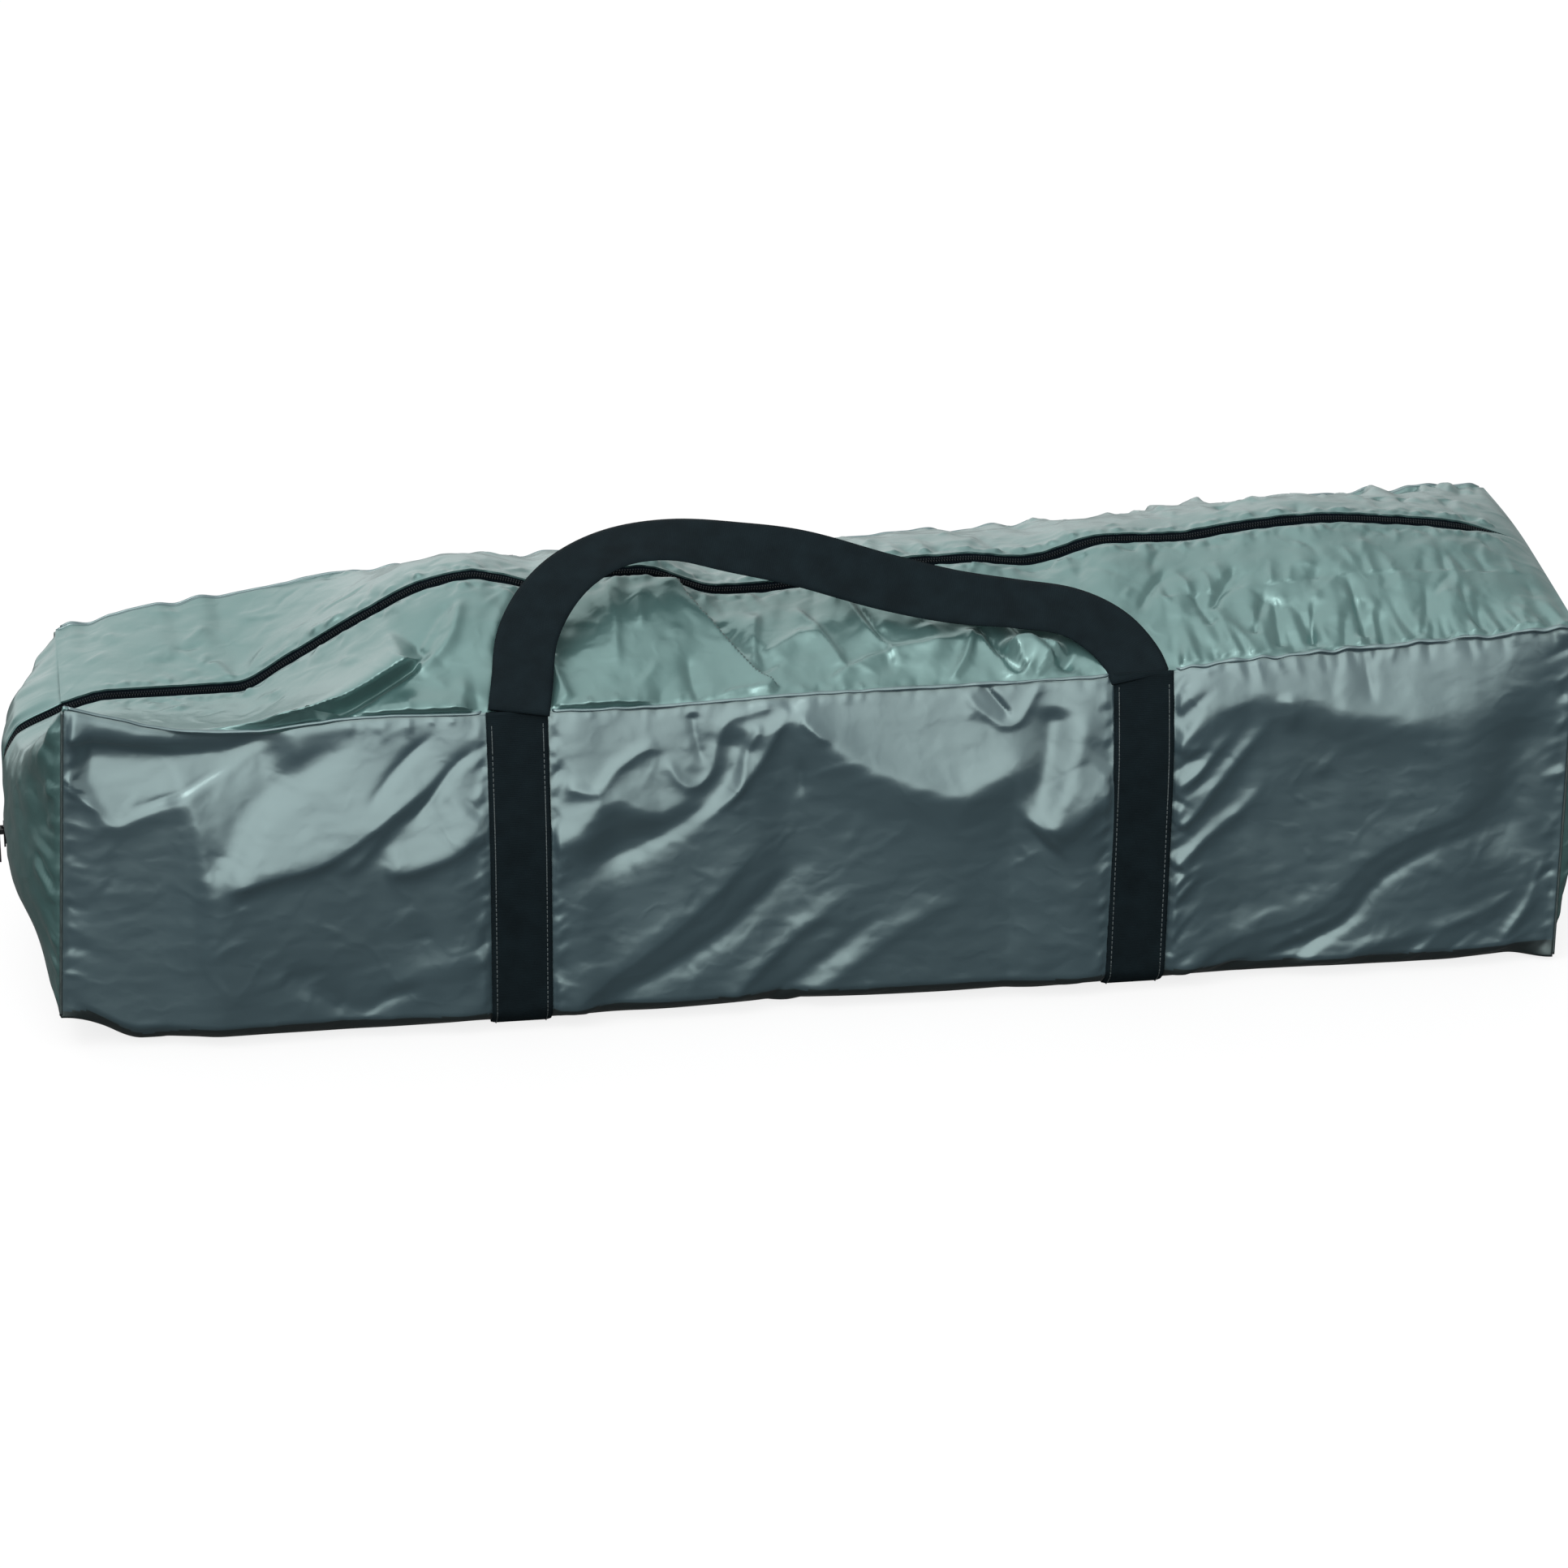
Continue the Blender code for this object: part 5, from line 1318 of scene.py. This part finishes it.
def build_bands(webbing, thread):
    for place, name in zip(BAND_PLACES, ("left", "right")):
        path, outward = girth_path(place, WEBBING_THICKNESS / 2 + BAND_GAP)
        across = np.broadcast_to((1.0, 0.0, 0.0), path.shape)
        mesh = ribbon_mesh(f"band_{name}", path, across, outward, WEBBING_WIDTH,
                           WEBBING_THICKNESS)
        band = link(f"band_{name}", mesh, webbing)
        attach(band, "bag")
        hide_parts(f"webbing_band_{name}")
        sewn = slice(4, -4)
        lift = WEBBING_THICKNESS / 2 - STITCH_SINK
        rows = [stitch_row(path[sewn], across[sewn], outward[sewn], offset, lift)
                for offset in (-STITCH_ROW, STITCH_ROW)]
        parts = [np.vstack(part) for part in zip(*rows)]
        stitches = boxes_mesh(f"band_stitches_{name}", *parts, STITCH_SIZE)
        piece = link(f"band_stitches_{name}", stitches, thread)
        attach(piece, "bag")


def handle_frame(side):
    """Centres, width directions and normals along a handle."""
    line = np.array(HANDLE_LINE)
    dense = smooth_path(line * (1000, 1000, 1), 0.5) / (1000, 1000, 1)
    dense = dense[dense[:, 1] >= HANDLE_START[side]]
    dense = resampled(dense * (1, 1, 0.001), HANDLE_STEP) * (1, 1, 1000)
    lean = HANDLE_LEAN[side]
    reach_way = np.array([0.0, -side * math.cos(lean), math.sin(lean)])
    plane_normal = np.array([0.0, side * math.sin(lean), math.cos(lean)])
    origin = np.array([0.0, side * HINGE_Y, SEAM_HEIGHT])
    centres = origin + dense[:, :1] * (1.0, 0.0, 0.0) + dense[:, 1:2] * reach_way
    tangents = unit(np.gradient(centres, axis=0))
    outward = unit(np.cross(plane_normal, tangents))
    if outward[len(outward) // 2] @ reach_way < 0:
        outward = -outward
    twist = -np.radians(dense[:, 2:3]) * (side == FRONT)
    across = unit(np.cos(twist) * outward + np.sin(twist) * plane_normal)
    normals = unit(np.cross(tangents, across))
    return centres, across, normals


def build_handles(webbing):
    for side in (FRONT, REAR):
        centres, across, normals = handle_frame(side)
        name = f"handle_{SIDE_NAME[side]}"
        mesh = ribbon_mesh(name, centres, across, normals, WEBBING_WIDTH, HANDLE_THICKNESS)
        handle = link(name, mesh, webbing)
        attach(handle, f"{SIDE_NAME[side]}_grip")
        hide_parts(f"{SIDE_NAME[side]}_handle")


# Zip

def zip_path():
    """The zip's line in the plane of y = 0: along the top from the right, then down the
    left end."""
    x = np.linspace(ZIP_RIGHT_END, -HALF_LENGTH, ZIP_TOP_POINTS)
    top = np.stack([x, 0 * x, through(ZIP_LINE, x)], axis=1)
    share = np.linspace(1, 0, ZIP_END_POINTS)[1:]
    down = end_base(0 * share, share, LEFT)
    down = down[down[:, 2] > ZIP_FOOT]
    path = resampled(np.vstack([top, down]), COIL_PITCH / 2)
    for _ in range(ZIP_SMOOTHING):
        path[1:-1] = (path[:-2] + 2 * path[1:-1] + path[2:]) / 4
    tangents = unit(np.gradient(path, axis=0))
    normals = np.cross(tangents, (0.0, 1.0, 0.0))
    # on the top they point up
    if normals[10, 2] < 0:
        normals = -normals
    return path, tangents, normals


def end_of_top(path):
    """The index of the zip's first point past the top."""
    return int(np.argmin(path[:, 0] > -HALF_LENGTH))


def zip_zone(path, low, high):
    """Where the zip's line lies between two places along the bag, on the top."""
    on_top = np.arange(len(path)) <= end_of_top(path)
    after = path[:, 0] >= low - ZONE_OVERLAP
    return on_top & after & (path[:, 0] <= high + ZONE_OVERLAP)


def tape_mesh(name, path, normals, side):
    """A zip tape, which lies under the edge of the fabric."""
    shares = np.linspace(0, 1, TAPE_ROWS)
    y = side * (TAPE_INNER + (TAPE_EDGE - TAPE_INNER) * shares)
    sag = -FABRIC - TAPE_CLOTH - TAPE_DROOP * shares
    points = (path[None] + normals[None] * sag[:, None, None]
              + np.array([0.0, 1.0, 0.0]) * y[:, None, None])
    texture = np.stack(np.broadcast_arrays(travelled(path)[None], y[:, None]), axis=-1)
    return sheet_mesh(name, [(points, texture, None, side == FRONT)])


def teeth_mesh(name, path, tangents, normals, side, first):
    """One side's teeth, at every second point of the path from the first."""
    chosen = np.arange(len(path))[first::2]
    middle = side * (COIL_INNER + COIL_OUTER) / 2
    centres = path[chosen] + (0.0, middle, 0.0) - normals[chosen] * (FABRIC + COIL_SINK)
    longs = np.broadcast_to((0.0, 1.0, 0.0), centres.shape)
    sizes = (COIL_OUTER - COIL_INNER, COIL_PITCH * TOOTH_SHARE, COIL_HEIGHT)
    return boxes_mesh(name, centres, longs, tangents[chosen], normals[chosen], sizes)


def build_zip(tape, coil):
    path, tangents, normals = zip_path()
    replaced = {
        ("left", "tape"): "zip_left_tape_{}", ("left", "coil"): "zip_left_coil_{}",
        ("middle", "tape"): "zip_tape_{}", ("middle", "coil"): "zip_coil_{}",
        ("right", "tape"): "zip_right_tape", ("right", "coil"): "zip_right_coil",
    }
    zones = list(ZONES) + [("end", None, None)]
    for zone, low, high in zones:
        if zone == "end":
            on_end = np.arange(len(path)) >= end_of_top(path) - 1
            keep = (path[:, 0] < -HALF_LENGTH + ZONE_OVERLAP) | on_end
        else:
            keep = zip_zone(path, max(low, -HALF_LENGTH), min(high, ZIP_RIGHT_END))
        run, way, out = path[keep], tangents[keep], normals[keep]
        first = int(np.argmax(keep))
        for side in (FRONT, REAR):
            made = {
                "tape": (tape_mesh(f"zip_tape_{SIDE_NAME[side]}_{zone}", run, out, side), tape),
                "coil": (teeth_mesh(f"zip_teeth_{SIDE_NAME[side]}_{zone}", run, way, out, side,
                                    (first + (side == REAR)) % 2), coil),
            }
            for kind, (mesh, material) in made.items():
                piece = link(mesh.name, mesh, material)
                if kind == "tape":
                    thicken(piece, TAPE_CLOTH)
                if zone == "end":
                    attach(piece, "bag")
                else:
                    follow(piece, side, zone)
                    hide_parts(replaced[zone, kind].format(SIDE_NAME[side]))


# What the bag holds

def superellipse(angle, power):
    """Cosine, sine and reach of the outline of a rounded box at each angle."""
    cosine, sine = np.cos(angle), np.sin(angle)
    return cosine, sine, (np.abs(cosine) ** power + np.abs(sine) ** power) ** (-1 / power)


def packed_rings(low, high, count, around, power, wrinkle, seed, ends=0.5, open_right=False):
    """Rings of a packed roll that fills a box, rounded off at its ends."""
    low, high = np.array(low), np.array(high)
    middle, half = (low + high) / 2, (high - low) / 2
    t = np.linspace(-1, 1, count)
    rim = min(half[1], half[2]) * ends
    near_end = np.clip((np.abs(t) - 1) * half[0] / rim + 1, 0, 1)
    if open_right:
        near_end[t > 0] = 0
    fullness = np.sqrt(np.clip(1 - (0.75 * near_end) ** 2, 0, 1))
    angle = np.linspace(0, 2 * math.pi, around, endpoint=False)
    cosine, sine, shape = superellipse(angle, power)
    x = middle[0] + t[:, None] * half[0] + 0 * angle[None]
    turn = angle[None] + 0 * x
    field = wavy(1000 * x, 160 * turn, 26.0, seed)
    field = field + 0.5 * wavy(1000 * x + 90 * turn, 300 * turn, 14.0, seed + 1)
    radial = fullness[:, None] - wrinkle * (0.5 + 0.5 * field) / min(half[1], half[2])
    y = middle[1] + half[1] * shape * cosine * radial
    z = middle[2] + half[2] * shape * sine * radial
    return np.stack([x, y, z], axis=-1)


def roll_mesh(name, low, high, turns, power, seed):
    """A roll of fabric with its outer lap's edge and a spiral at each end."""
    rings = packed_rings(low, high, ROLL_RINGS, ROLL_SIDES, power, ROLL_WRINKLE, seed, 0.35)
    middle = rings.mean(axis=1)
    turn = np.arange(ROLL_SIDES) / ROLL_SIDES
    lap = 1 + ROLL_LAP * (turn - 0.5)
    rings = middle[:, None] + (rings - middle[:, None]) * lap[None, :, None] * ROLL_FILL
    caps = []
    for end, away in ((0, -1), (-1, 1)):
        ring, centre = rings[end], middle[end]
        steps = []
        for k in range(1, ROLL_END_STEPS):
            share = 1 - k / ROLL_END_STEPS
            spiral = (turns * share + turn) % 1.0
            inner = centre + (ring - centre) * share
            out = away * (-ROLL_SPIRAL * spiral[:, None] + ROLL_END_OUT)
            inner = inner + np.array([1.0, 0, 0]) * out
            steps.append(inner)
        caps.append(np.array(steps))
    rings = np.vstack([caps[0][::-1], rings, caps[1]])
    return tube_mesh(name, rings)


def sleeve_mesh(name, low, high, seed):
    """A soft bag along the big one's length: closed on the left, gathered on the right."""
    outer = packed_rings(low, high, SLEEVE_RINGS, SLEEVE_SIDES, 2.6, SLEEVE_WRINKLE, seed,
                         open_right=True)
    middle = outer.mean(axis=1, keepdims=True)
    to_mouth = (outer[-1, 0, 0] - outer[:, :1, :1]) / SLEEVE_MOUTH
    turn = np.arange(SLEEVE_SIDES) * 2 * math.pi / SLEEVE_SIDES
    pleats = 0.5 + 0.5 * np.cos(turn * SLEEVE_PLEATS)[None, :, None]
    drawn_in = SLEEVE_PLEAT_DEPTH * pleats * (1 - eased(to_mouth))
    outer = middle + (outer - middle) * (1 - drawn_in)
    from_axis = outer - middle
    reach = np.linalg.norm(from_axis, axis=2, keepdims=True)
    inner = middle + from_axis * (1 - SLEEVE_CLOTH / reach)
    inner[0, :, 0] += SLEEVE_CLOTH
    return tube_mesh(name, np.vstack([outer, inner[::-1]]))


def loop_strap_mesh(name, low, high, power):
    """A strap drawn tight round a roll, as wide as its box is long."""
    middle = (np.array(low) + np.array(high)) / 2
    half = (np.array(high) - np.array(low)) / 2
    angle = np.linspace(0, 2 * math.pi, STRAP_SIDES, endpoint=False)
    cosine, sine, shape = superellipse(angle, power)
    rings = []
    for u, v in ((-1, 0), (-1, 1), (-0.5, 1.1), (0.5, 1.1), (1, 1), (1, 0)):
        y = middle[1] + (half[1] - ROLL_STRAP_CLOTH * (1 - v)) * shape * cosine
        z = middle[2] + (half[2] - ROLL_STRAP_CLOTH * (1 - v)) * shape * sine
        rings.append(np.stack([0 * y + middle[0] + u * half[0], y, z], axis=1))
    count = len(rings)
    verts = np.vstack(rings)
    faces = grid_faces(count, STRAP_SIDES, around=True)
    last = (count - 1) * STRAP_SIDES
    for j in range(STRAP_SIDES):
        after = (j + 1) % STRAP_SIDES
        faces.append((last + j, last + after, after, j))
    texture = np.stack([verts[:, 0], np.tile(angle, count) * half[1]], axis=1)
    mesh = mesh_of(name, verts, faces, texture)
    face_outward(mesh)
    return mesh


def build_contents(cloth, nylon_cloth, webbing):
    def place(piece, node, slot_name):
        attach(piece, "bag")
        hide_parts(node)

    low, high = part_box("tent_body_roll")
    mesh = roll_mesh("tent_roll", low, high, 6, 2.6, 101)
    place(link("tent_roll", mesh, cloth), "tent_body_roll", "packed_cloth")
    low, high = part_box("rainfly_roll")
    mesh = roll_mesh("fly_roll", low, high, 5, 2.1, 111)
    place(link("fly_roll", mesh, nylon_cloth), "rainfly_roll", "packed_nylon")
    for number in (1, 2):
        low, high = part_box(f"compression_strap_{number}")
        mesh = loop_strap_mesh(f"roll_strap_{number}", low, high, 2.6)
        place(link(f"roll_strap_{number}", mesh, webbing), f"compression_strap_{number}",
              "strap_webbing")
    for name, node in (("pole_sleeve", "pole_bag"), ("peg_sleeve", "peg_bag")):
        low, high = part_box(node)
        place(link(name, sleeve_mesh(name, low, high, 121), nylon_cloth), node, "packed_nylon")


# Materials

def new_material(name):
    material = bpy.data.materials.new(name)
    material.use_nodes = True
    nodes = material.node_tree.nodes
    return material, nodes, material.node_tree.links, nodes["Principled BSDF"]


def add_node(nodes, kind, **values):
    """A shader node with some of its inputs set by name."""
    node = nodes.new("ShaderNode" + kind)
    for name, value in values.items():
        node.inputs[name.replace("_", " ")].default_value = value
    return node


def pattern(nodes, links, place, kind, **values):
    """The grey value of a texture at a place."""
    node = add_node(nodes, kind, **values)
    links.new(place, node.inputs["Vector"])
    return node.outputs["Fac"]


def calculated(nodes, links, operation, first, second=None):
    """The result of a calculation on a socket, and on a second socket or a number."""
    node = nodes.new("ShaderNodeMath")
    node.operation = operation
    links.new(first, node.inputs[0])
    if isinstance(second, float):
        node.inputs[1].default_value = second
    elif second is not None:
        links.new(second, node.inputs[1])
    return node.outputs["Value"]


def stepped(nodes, links, source, low, high, start, end):
    """A smooth step from start to end while the source goes from low to high."""
    step = add_node(nodes, "MapRange", From_Min=low, From_Max=high, To_Min=start, To_Max=end)
    step.interpolation_type = "SMOOTHSTEP"
    links.new(source, step.inputs["Value"])
    return step.outputs["Result"]


def mixed(nodes, links, share, first, second):
    """One shader where the share is 0 and another where it is 1."""
    mix = nodes.new("ShaderNodeMixShader")
    links.new(share, mix.inputs["Fac"])
    links.new(first, mix.inputs[1])
    links.new(second, mix.inputs[2])
    return mix.outputs["Shader"]


def tinted(nodes, links, vector, colour, scale, spread):
    """A colour that drifts a little lighter and darker over the surface."""
    ramp = nodes.new("ShaderNodeValToRGB")
    darker, lighter = ramp.color_ramp.elements
    darker.position = 0.30
    lighter.position = 0.72
    darker.color = (*[c * (1 - spread) for c in colour], 1)
    lighter.color = (*[c * (1 + spread) for c in colour], 1)
    noise = pattern(nodes, links, vector, "TexNoise", Scale=scale, Detail=4.0)
    links.new(noise, ramp.inputs["Fac"])
    return ramp.outputs["Color"]


def bumped(nodes, links, height, strength, distance, below=None):
    """A normal that follows a height, over another bump where one is given."""
    bump = add_node(nodes, "Bump", Strength=strength, Distance=distance)
    links.new(height, bump.inputs["Height"])
    if below is not None:
        links.new(below, bump.inputs["Normal"])
    return bump.outputs["Normal"]


def weave_place(nodes):
    place = nodes.new("ShaderNodeUVMap")
    place.uv_map = "weave"
    return place.outputs["UV"]


def crease_lines(nodes, links, place, scale, width, seed):
    """Thin wandering ridges, where a noise crosses its middle value."""
    noise = nodes.new("ShaderNodeTexNoise")
    noise.noise_dimensions = "4D"
    noise.inputs["W"].default_value = seed
    noise.inputs["Scale"].default_value = scale
    noise.inputs["Detail"].default_value = 2.5
    links.new(place, noise.inputs["Vector"])
    centred = calculated(nodes, links, "SUBTRACT", noise.outputs["Fac"], 0.5)
    away = calculated(nodes, links, "ABSOLUTE", centred)
    return stepped(nodes, links, away, 0.0, width, 1.0, 0.0)


def nylon(name, colour, roughness, creases, gloss=BAG_GLOSS):
    """Coated nylon: a fine weave, small crinkles and a soft sheen."""
    material, nodes, links, shader = new_material(name)
    place = weave_place(nodes)
    tint = tinted(nodes, links, place, colour, scale=9.0, spread=0.08)
    links.new(tint, shader.inputs["Base Color"])
    long_lines = crease_lines(nodes, links, place, scale=13.0, width=0.05, seed=1.0)
    short_lines = crease_lines(nodes, links, place, scale=30.0, width=0.07, seed=5.0)
    crinkle = pattern(nodes, links, place, "TexNoise", Scale=95.0, Detail=5.0, Distortion=0.6)
    weave = pattern(nodes, links, place, "TexChecker", Scale=1800.0)
    normal = bumped(nodes, links, long_lines, strength=0.30 * creases, distance=0.0010)
    normal = bumped(nodes, links, short_lines, 0.22 * creases, 0.0006, below=normal)
    normal = bumped(nodes, links, crinkle, strength=0.10, distance=0.0010, below=normal)
    normal = bumped(nodes, links, weave, strength=0.10, distance=0.0001, below=normal)
    links.new(normal, shader.inputs["Normal"])
    shader.inputs["Roughness"].default_value = roughness
    shader.inputs["IOR"].default_value = 1.85
    shader.inputs["Specular IOR Level"].default_value = 0.92
    shader.inputs["Specular Tint"].default_value = (*gloss, 1)
    shader.inputs["Sheen Weight"].default_value = 0.05
    shader.inputs["Sheen Roughness"].default_value = 0.4
    return material


def webbing_material(name, colour, roughness=0.8, gloss=0.08):
    """Woven strap: ribs along its length, crossed by fine picks."""
    material, nodes, links, shader = new_material(name)
    place = weave_place(nodes)
    tint = tinted(nodes, links, place, colour, scale=60.0, spread=0.22)
    links.new(tint, shader.inputs["Base Color"])
    ribs = nodes.new("ShaderNodeTexWave")
    ribs.bands_direction = "Y"
    ribs.inputs["Scale"].default_value = 260.0
    ribs.inputs["Distortion"].default_value = 1.5
    links.new(place, ribs.inputs["Vector"])
    picks = pattern(nodes, links, place, "TexWave", Scale=420.0)
    normal = bumped(nodes, links, ribs.outputs["Fac"], strength=0.35, distance=0.0003)
    normal = bumped(nodes, links, picks, strength=0.2, distance=0.0002, below=normal)
    links.new(normal, shader.inputs["Normal"])
    shader.inputs["Roughness"].default_value = roughness
    shader.inputs["Specular IOR Level"].default_value = gloss
    return material


def plain(name, colour, roughness, metallic=0.0, gloss=0.5):
    """A moulded or metal part with slight unevenness."""
    material, nodes, links, shader = new_material(name)
    place = nodes.new("ShaderNodeTexCoord").outputs["Object"]
    tint = tinted(nodes, links, place, colour, scale=120.0, spread=0.1)
    links.new(tint, shader.inputs["Base Color"])
    grain = pattern(nodes, links, place, "TexNoise", Scale=480.0)
    normal = bumped(nodes, links, grain, strength=0.08, distance=0.0003)
    links.new(normal, shader.inputs["Normal"])
    shader.inputs["Roughness"].default_value = roughness
    shader.inputs["Metallic"].default_value = metallic
    shader.inputs["Specular IOR Level"].default_value = gloss
    return material


def finish_nodes():
    """Materials of the hard parts that keep their own solids."""
    finishes = {
        "zip_slider": plain("slider_enamel", ENAMEL_COLOUR, roughness=0.35, metallic=0.6),
        "zip_pull": plain("pull_enamel", ENAMEL_COLOUR, roughness=0.4, metallic=0.4),
        "zip_left_stop": plain("stop_enamel", STOP_COLOUR, roughness=0.35, metallic=0.8),
        "zip_right_stop": plain("end_stop_enamel", STOP_COLOUR, roughness=0.35, metallic=0.8),
        "buckle_": plain("buckle_nylon", BUCKLE_COLOUR, roughness=0.42),
        "pole_": plain("pole_fibreglass", POLE_COLOUR, roughness=0.3),
        "ferrule_": plain("ferrule_steel", STEEL_COLOUR, roughness=0.25, metallic=1.0),
        "peg_": plain("peg_steel", STEEL_COLOUR, roughness=0.3, metallic=1.0),
        "shock_cord_": plain("cord_elastic", ELASTIC_COLOUR, roughness=0.7),
    }
    for name, node in NODES.items():
        if node.hide_render:
            continue
        for start, material in finishes.items():
            if name.startswith(start):
                for index in range(len(node.material_slots)):
                    node.material_slots[index].material = material
                break


# The studio

def add_camera():
    back = Vector((
        math.sin(CAMERA_YAW) * math.cos(CAMERA_PITCH),
        -math.cos(CAMERA_YAW) * math.cos(CAMERA_PITCH),
        math.sin(CAMERA_PITCH),
    ))
    right = Vector((math.cos(CAMERA_YAW), math.sin(CAMERA_YAW), 0.0))
    up = back.cross(right)
    turned_right = right * math.cos(CAMERA_ROLL) - up * math.sin(CAMERA_ROLL)
    foot_shade_height = right * math.sin(CAMERA_ROLL) + up * math.cos(CAMERA_ROLL)
    data = bpy.data.cameras.new("camera")
    data.lens = CAMERA_LENS
    data.sensor_width = CAMERA_SENSOR
    data.clip_end = CAMERA_FAR
    camera = bpy.data.objects.new("camera", data)
    place = CAMERA_TARGET + back * CAMERA_DISTANCE
    axes = Matrix((turned_right, foot_shade_height, back)).transposed()
    camera.matrix_world = Matrix.Translation(place) @ axes.to_4x4()
    bpy.context.scene.collection.objects.link(camera)
    bpy.context.scene.camera = camera


def add_key_light():
    data = bpy.data.lights.new("key", "AREA")
    data.shape = "RECTANGLE"
    data.size, data.size_y = KEY_SIZE
    data.energy = KEY_POWER
    light = bpy.data.objects.new("key", data)
    light.location = KEY_PLACE
    way = KEY_TARGET - KEY_PLACE
    light.rotation_euler = way.to_track_quat("-Z", "Y").to_euler()
    bpy.context.scene.collection.objects.link(light)


def add_sky():
    """Light that depends on its direction only; the camera sees plain white instead."""
    world = bpy.data.worlds.new("studio")
    bpy.context.scene.world = world
    world.use_nodes = True
    nodes, links = world.node_tree.nodes, world.node_tree.links
    place = nodes.new("ShaderNodeTexCoord").outputs["Generated"]
    ways = nodes.new("ShaderNodeSeparateXYZ")
    links.new(place, ways.inputs["Vector"])
    light = None
    # along each axis of the direction the light goes smoothly from one share to another
    for axis, low, high, start, end in (
        ("Z", -0.30, -0.12, GROUND_LIGHT, 1.0),
        ("Z", -0.85, -0.35, 0.45, 1.0),
        ("Z", 0.62, 0.97, 1.0, ZENITH_SKY),
        ("Y", -0.35, 0.35, FRONT_SKY, REAR_SKY),
        ("X", -0.90, -0.45, LEFT_SKY, 1.0),
        ("X", -0.10, 0.60, 1.0, RIGHT_SKY),
    ):
        part = stepped(nodes, links, ways.outputs[axis], low, high, start, end)
        light = part if light is None else calculated(nodes, links, "MULTIPLY", light, part)
    background = nodes["Background"]
    background.inputs["Color"].default_value = (1, 1, 1, 1)
    links.new(light, background.inputs["Strength"])
    seen = add_node(nodes, "Background", Color=(1, 1, 1, 1))
    camera_ray = nodes.new("ShaderNodeLightPath").outputs["Is Camera Ray"]
    shown = mixed(nodes, links, camera_ray, background.outputs["Background"],
                  seen.outputs["Background"])
    links.new(shown, nodes["World Output"].inputs["Surface"])


def add_floor():
    """A pale floor that shows the shadow, and that glossy rays pass."""
    corners = [(FLOOR_HALF * a, FLOOR_HALF * b, -FLOOR_DROP)
               for a, b in ((-1, -1), (1, -1), (1, 1), (-1, 1))]
    mesh = bpy.data.meshes.new("floor")
    mesh.from_pydata(corners, [], [(0, 1, 2, 3)])
    material, nodes, links, shader = new_material("pale_floor")
    shader.inputs["Roughness"].default_value = 0.9
    path = nodes.new("ShaderNodeLightPath")
    camera_ray = path.outputs["Is Camera Ray"]
    tone = nodes.new("ShaderNodeMix")
    tone.data_type = "RGBA"
    tone.inputs["A"].default_value = (FLOOR_LIT, FLOOR_LIT, FLOOR_LIT, 1)
    tone.inputs["B"].default_value = (FLOOR_SEEN, FLOOR_SEEN, FLOOR_SEEN, 1)
    links.new(camera_ray, tone.inputs["Factor"])
    links.new(tone.outputs["Result"], shader.inputs["Base Color"])
    glow = nodes.new("ShaderNodeEmission").outputs["Emission"]
    share = calculated(nodes, links, "MULTIPLY", camera_ray, FLOOR_GLOW)
    lit = mixed(nodes, links, share, shader.outputs["BSDF"], glow)
    clear = nodes.new("ShaderNodeBsdfTransparent").outputs["BSDF"]
    seen = mixed(nodes, links, path.outputs["Is Glossy Ray"], lit, clear)
    links.new(seen, nodes["Material Output"].inputs["Surface"])
    link("floor", mesh, material)


def main():
    add_camera()
    add_sky()
    add_key_light()
    add_floor()
    bag_nylon = nylon("bag_nylon", BAG_COLOUR, roughness=0.28, creases=0.5)
    # painted light: a lighter, greener copy of the bag's fabric for the top, the ends and the gussets
    lit_top_nylon = nylon("lit_top_nylon", LIT_TOP_COLOUR, roughness=0.28, creases=0.9, gloss=LIT_TOP_GLOSS)
    # painted shade at the foot of the walls; the corner bindings use it too
    binding_and_foot_shade_nylon = nylon("binding_and_foot_shade_nylon", FOOT_SHADE_COLOUR, roughness=0.45, creases=0.5)
    packed_cloth = nylon("packed_cloth", PACKED_CLOTH_COLOUR, roughness=0.6, creases=1.0)
    packed_nylon = nylon("packed_nylon", PACKED_NYLON_COLOUR, roughness=0.45, creases=1.0)
    webbing = webbing_material("black_webbing", WEBBING_COLOUR)
    strap = webbing_material("strap_webbing", STRAP_COLOUR)
    thread = plain("thread", THREAD_COLOUR, roughness=0.7)
    tape = webbing_material("zip_tape", TAPE_COLOUR, roughness=0.9, gloss=0.0)
    coil = plain("zip_coil", COIL_COLOUR, roughness=0.6, gloss=0.10)
    build_shell(bag_nylon, binding_and_foot_shade_nylon, lit_top_nylon)
    build_tops(lit_top_nylon)
    build_seams(bag_nylon)
    build_gussets(lit_top_nylon)
    build_corner_seams(binding_and_foot_shade_nylon)
    build_bands(webbing, thread)
    build_handles(webbing)
    build_zip(tape, coil)
    build_contents(packed_cloth, packed_nylon, strap)
    finish_nodes()
    bpy.context.scene.view_settings.view_transform = "Standard"


main()
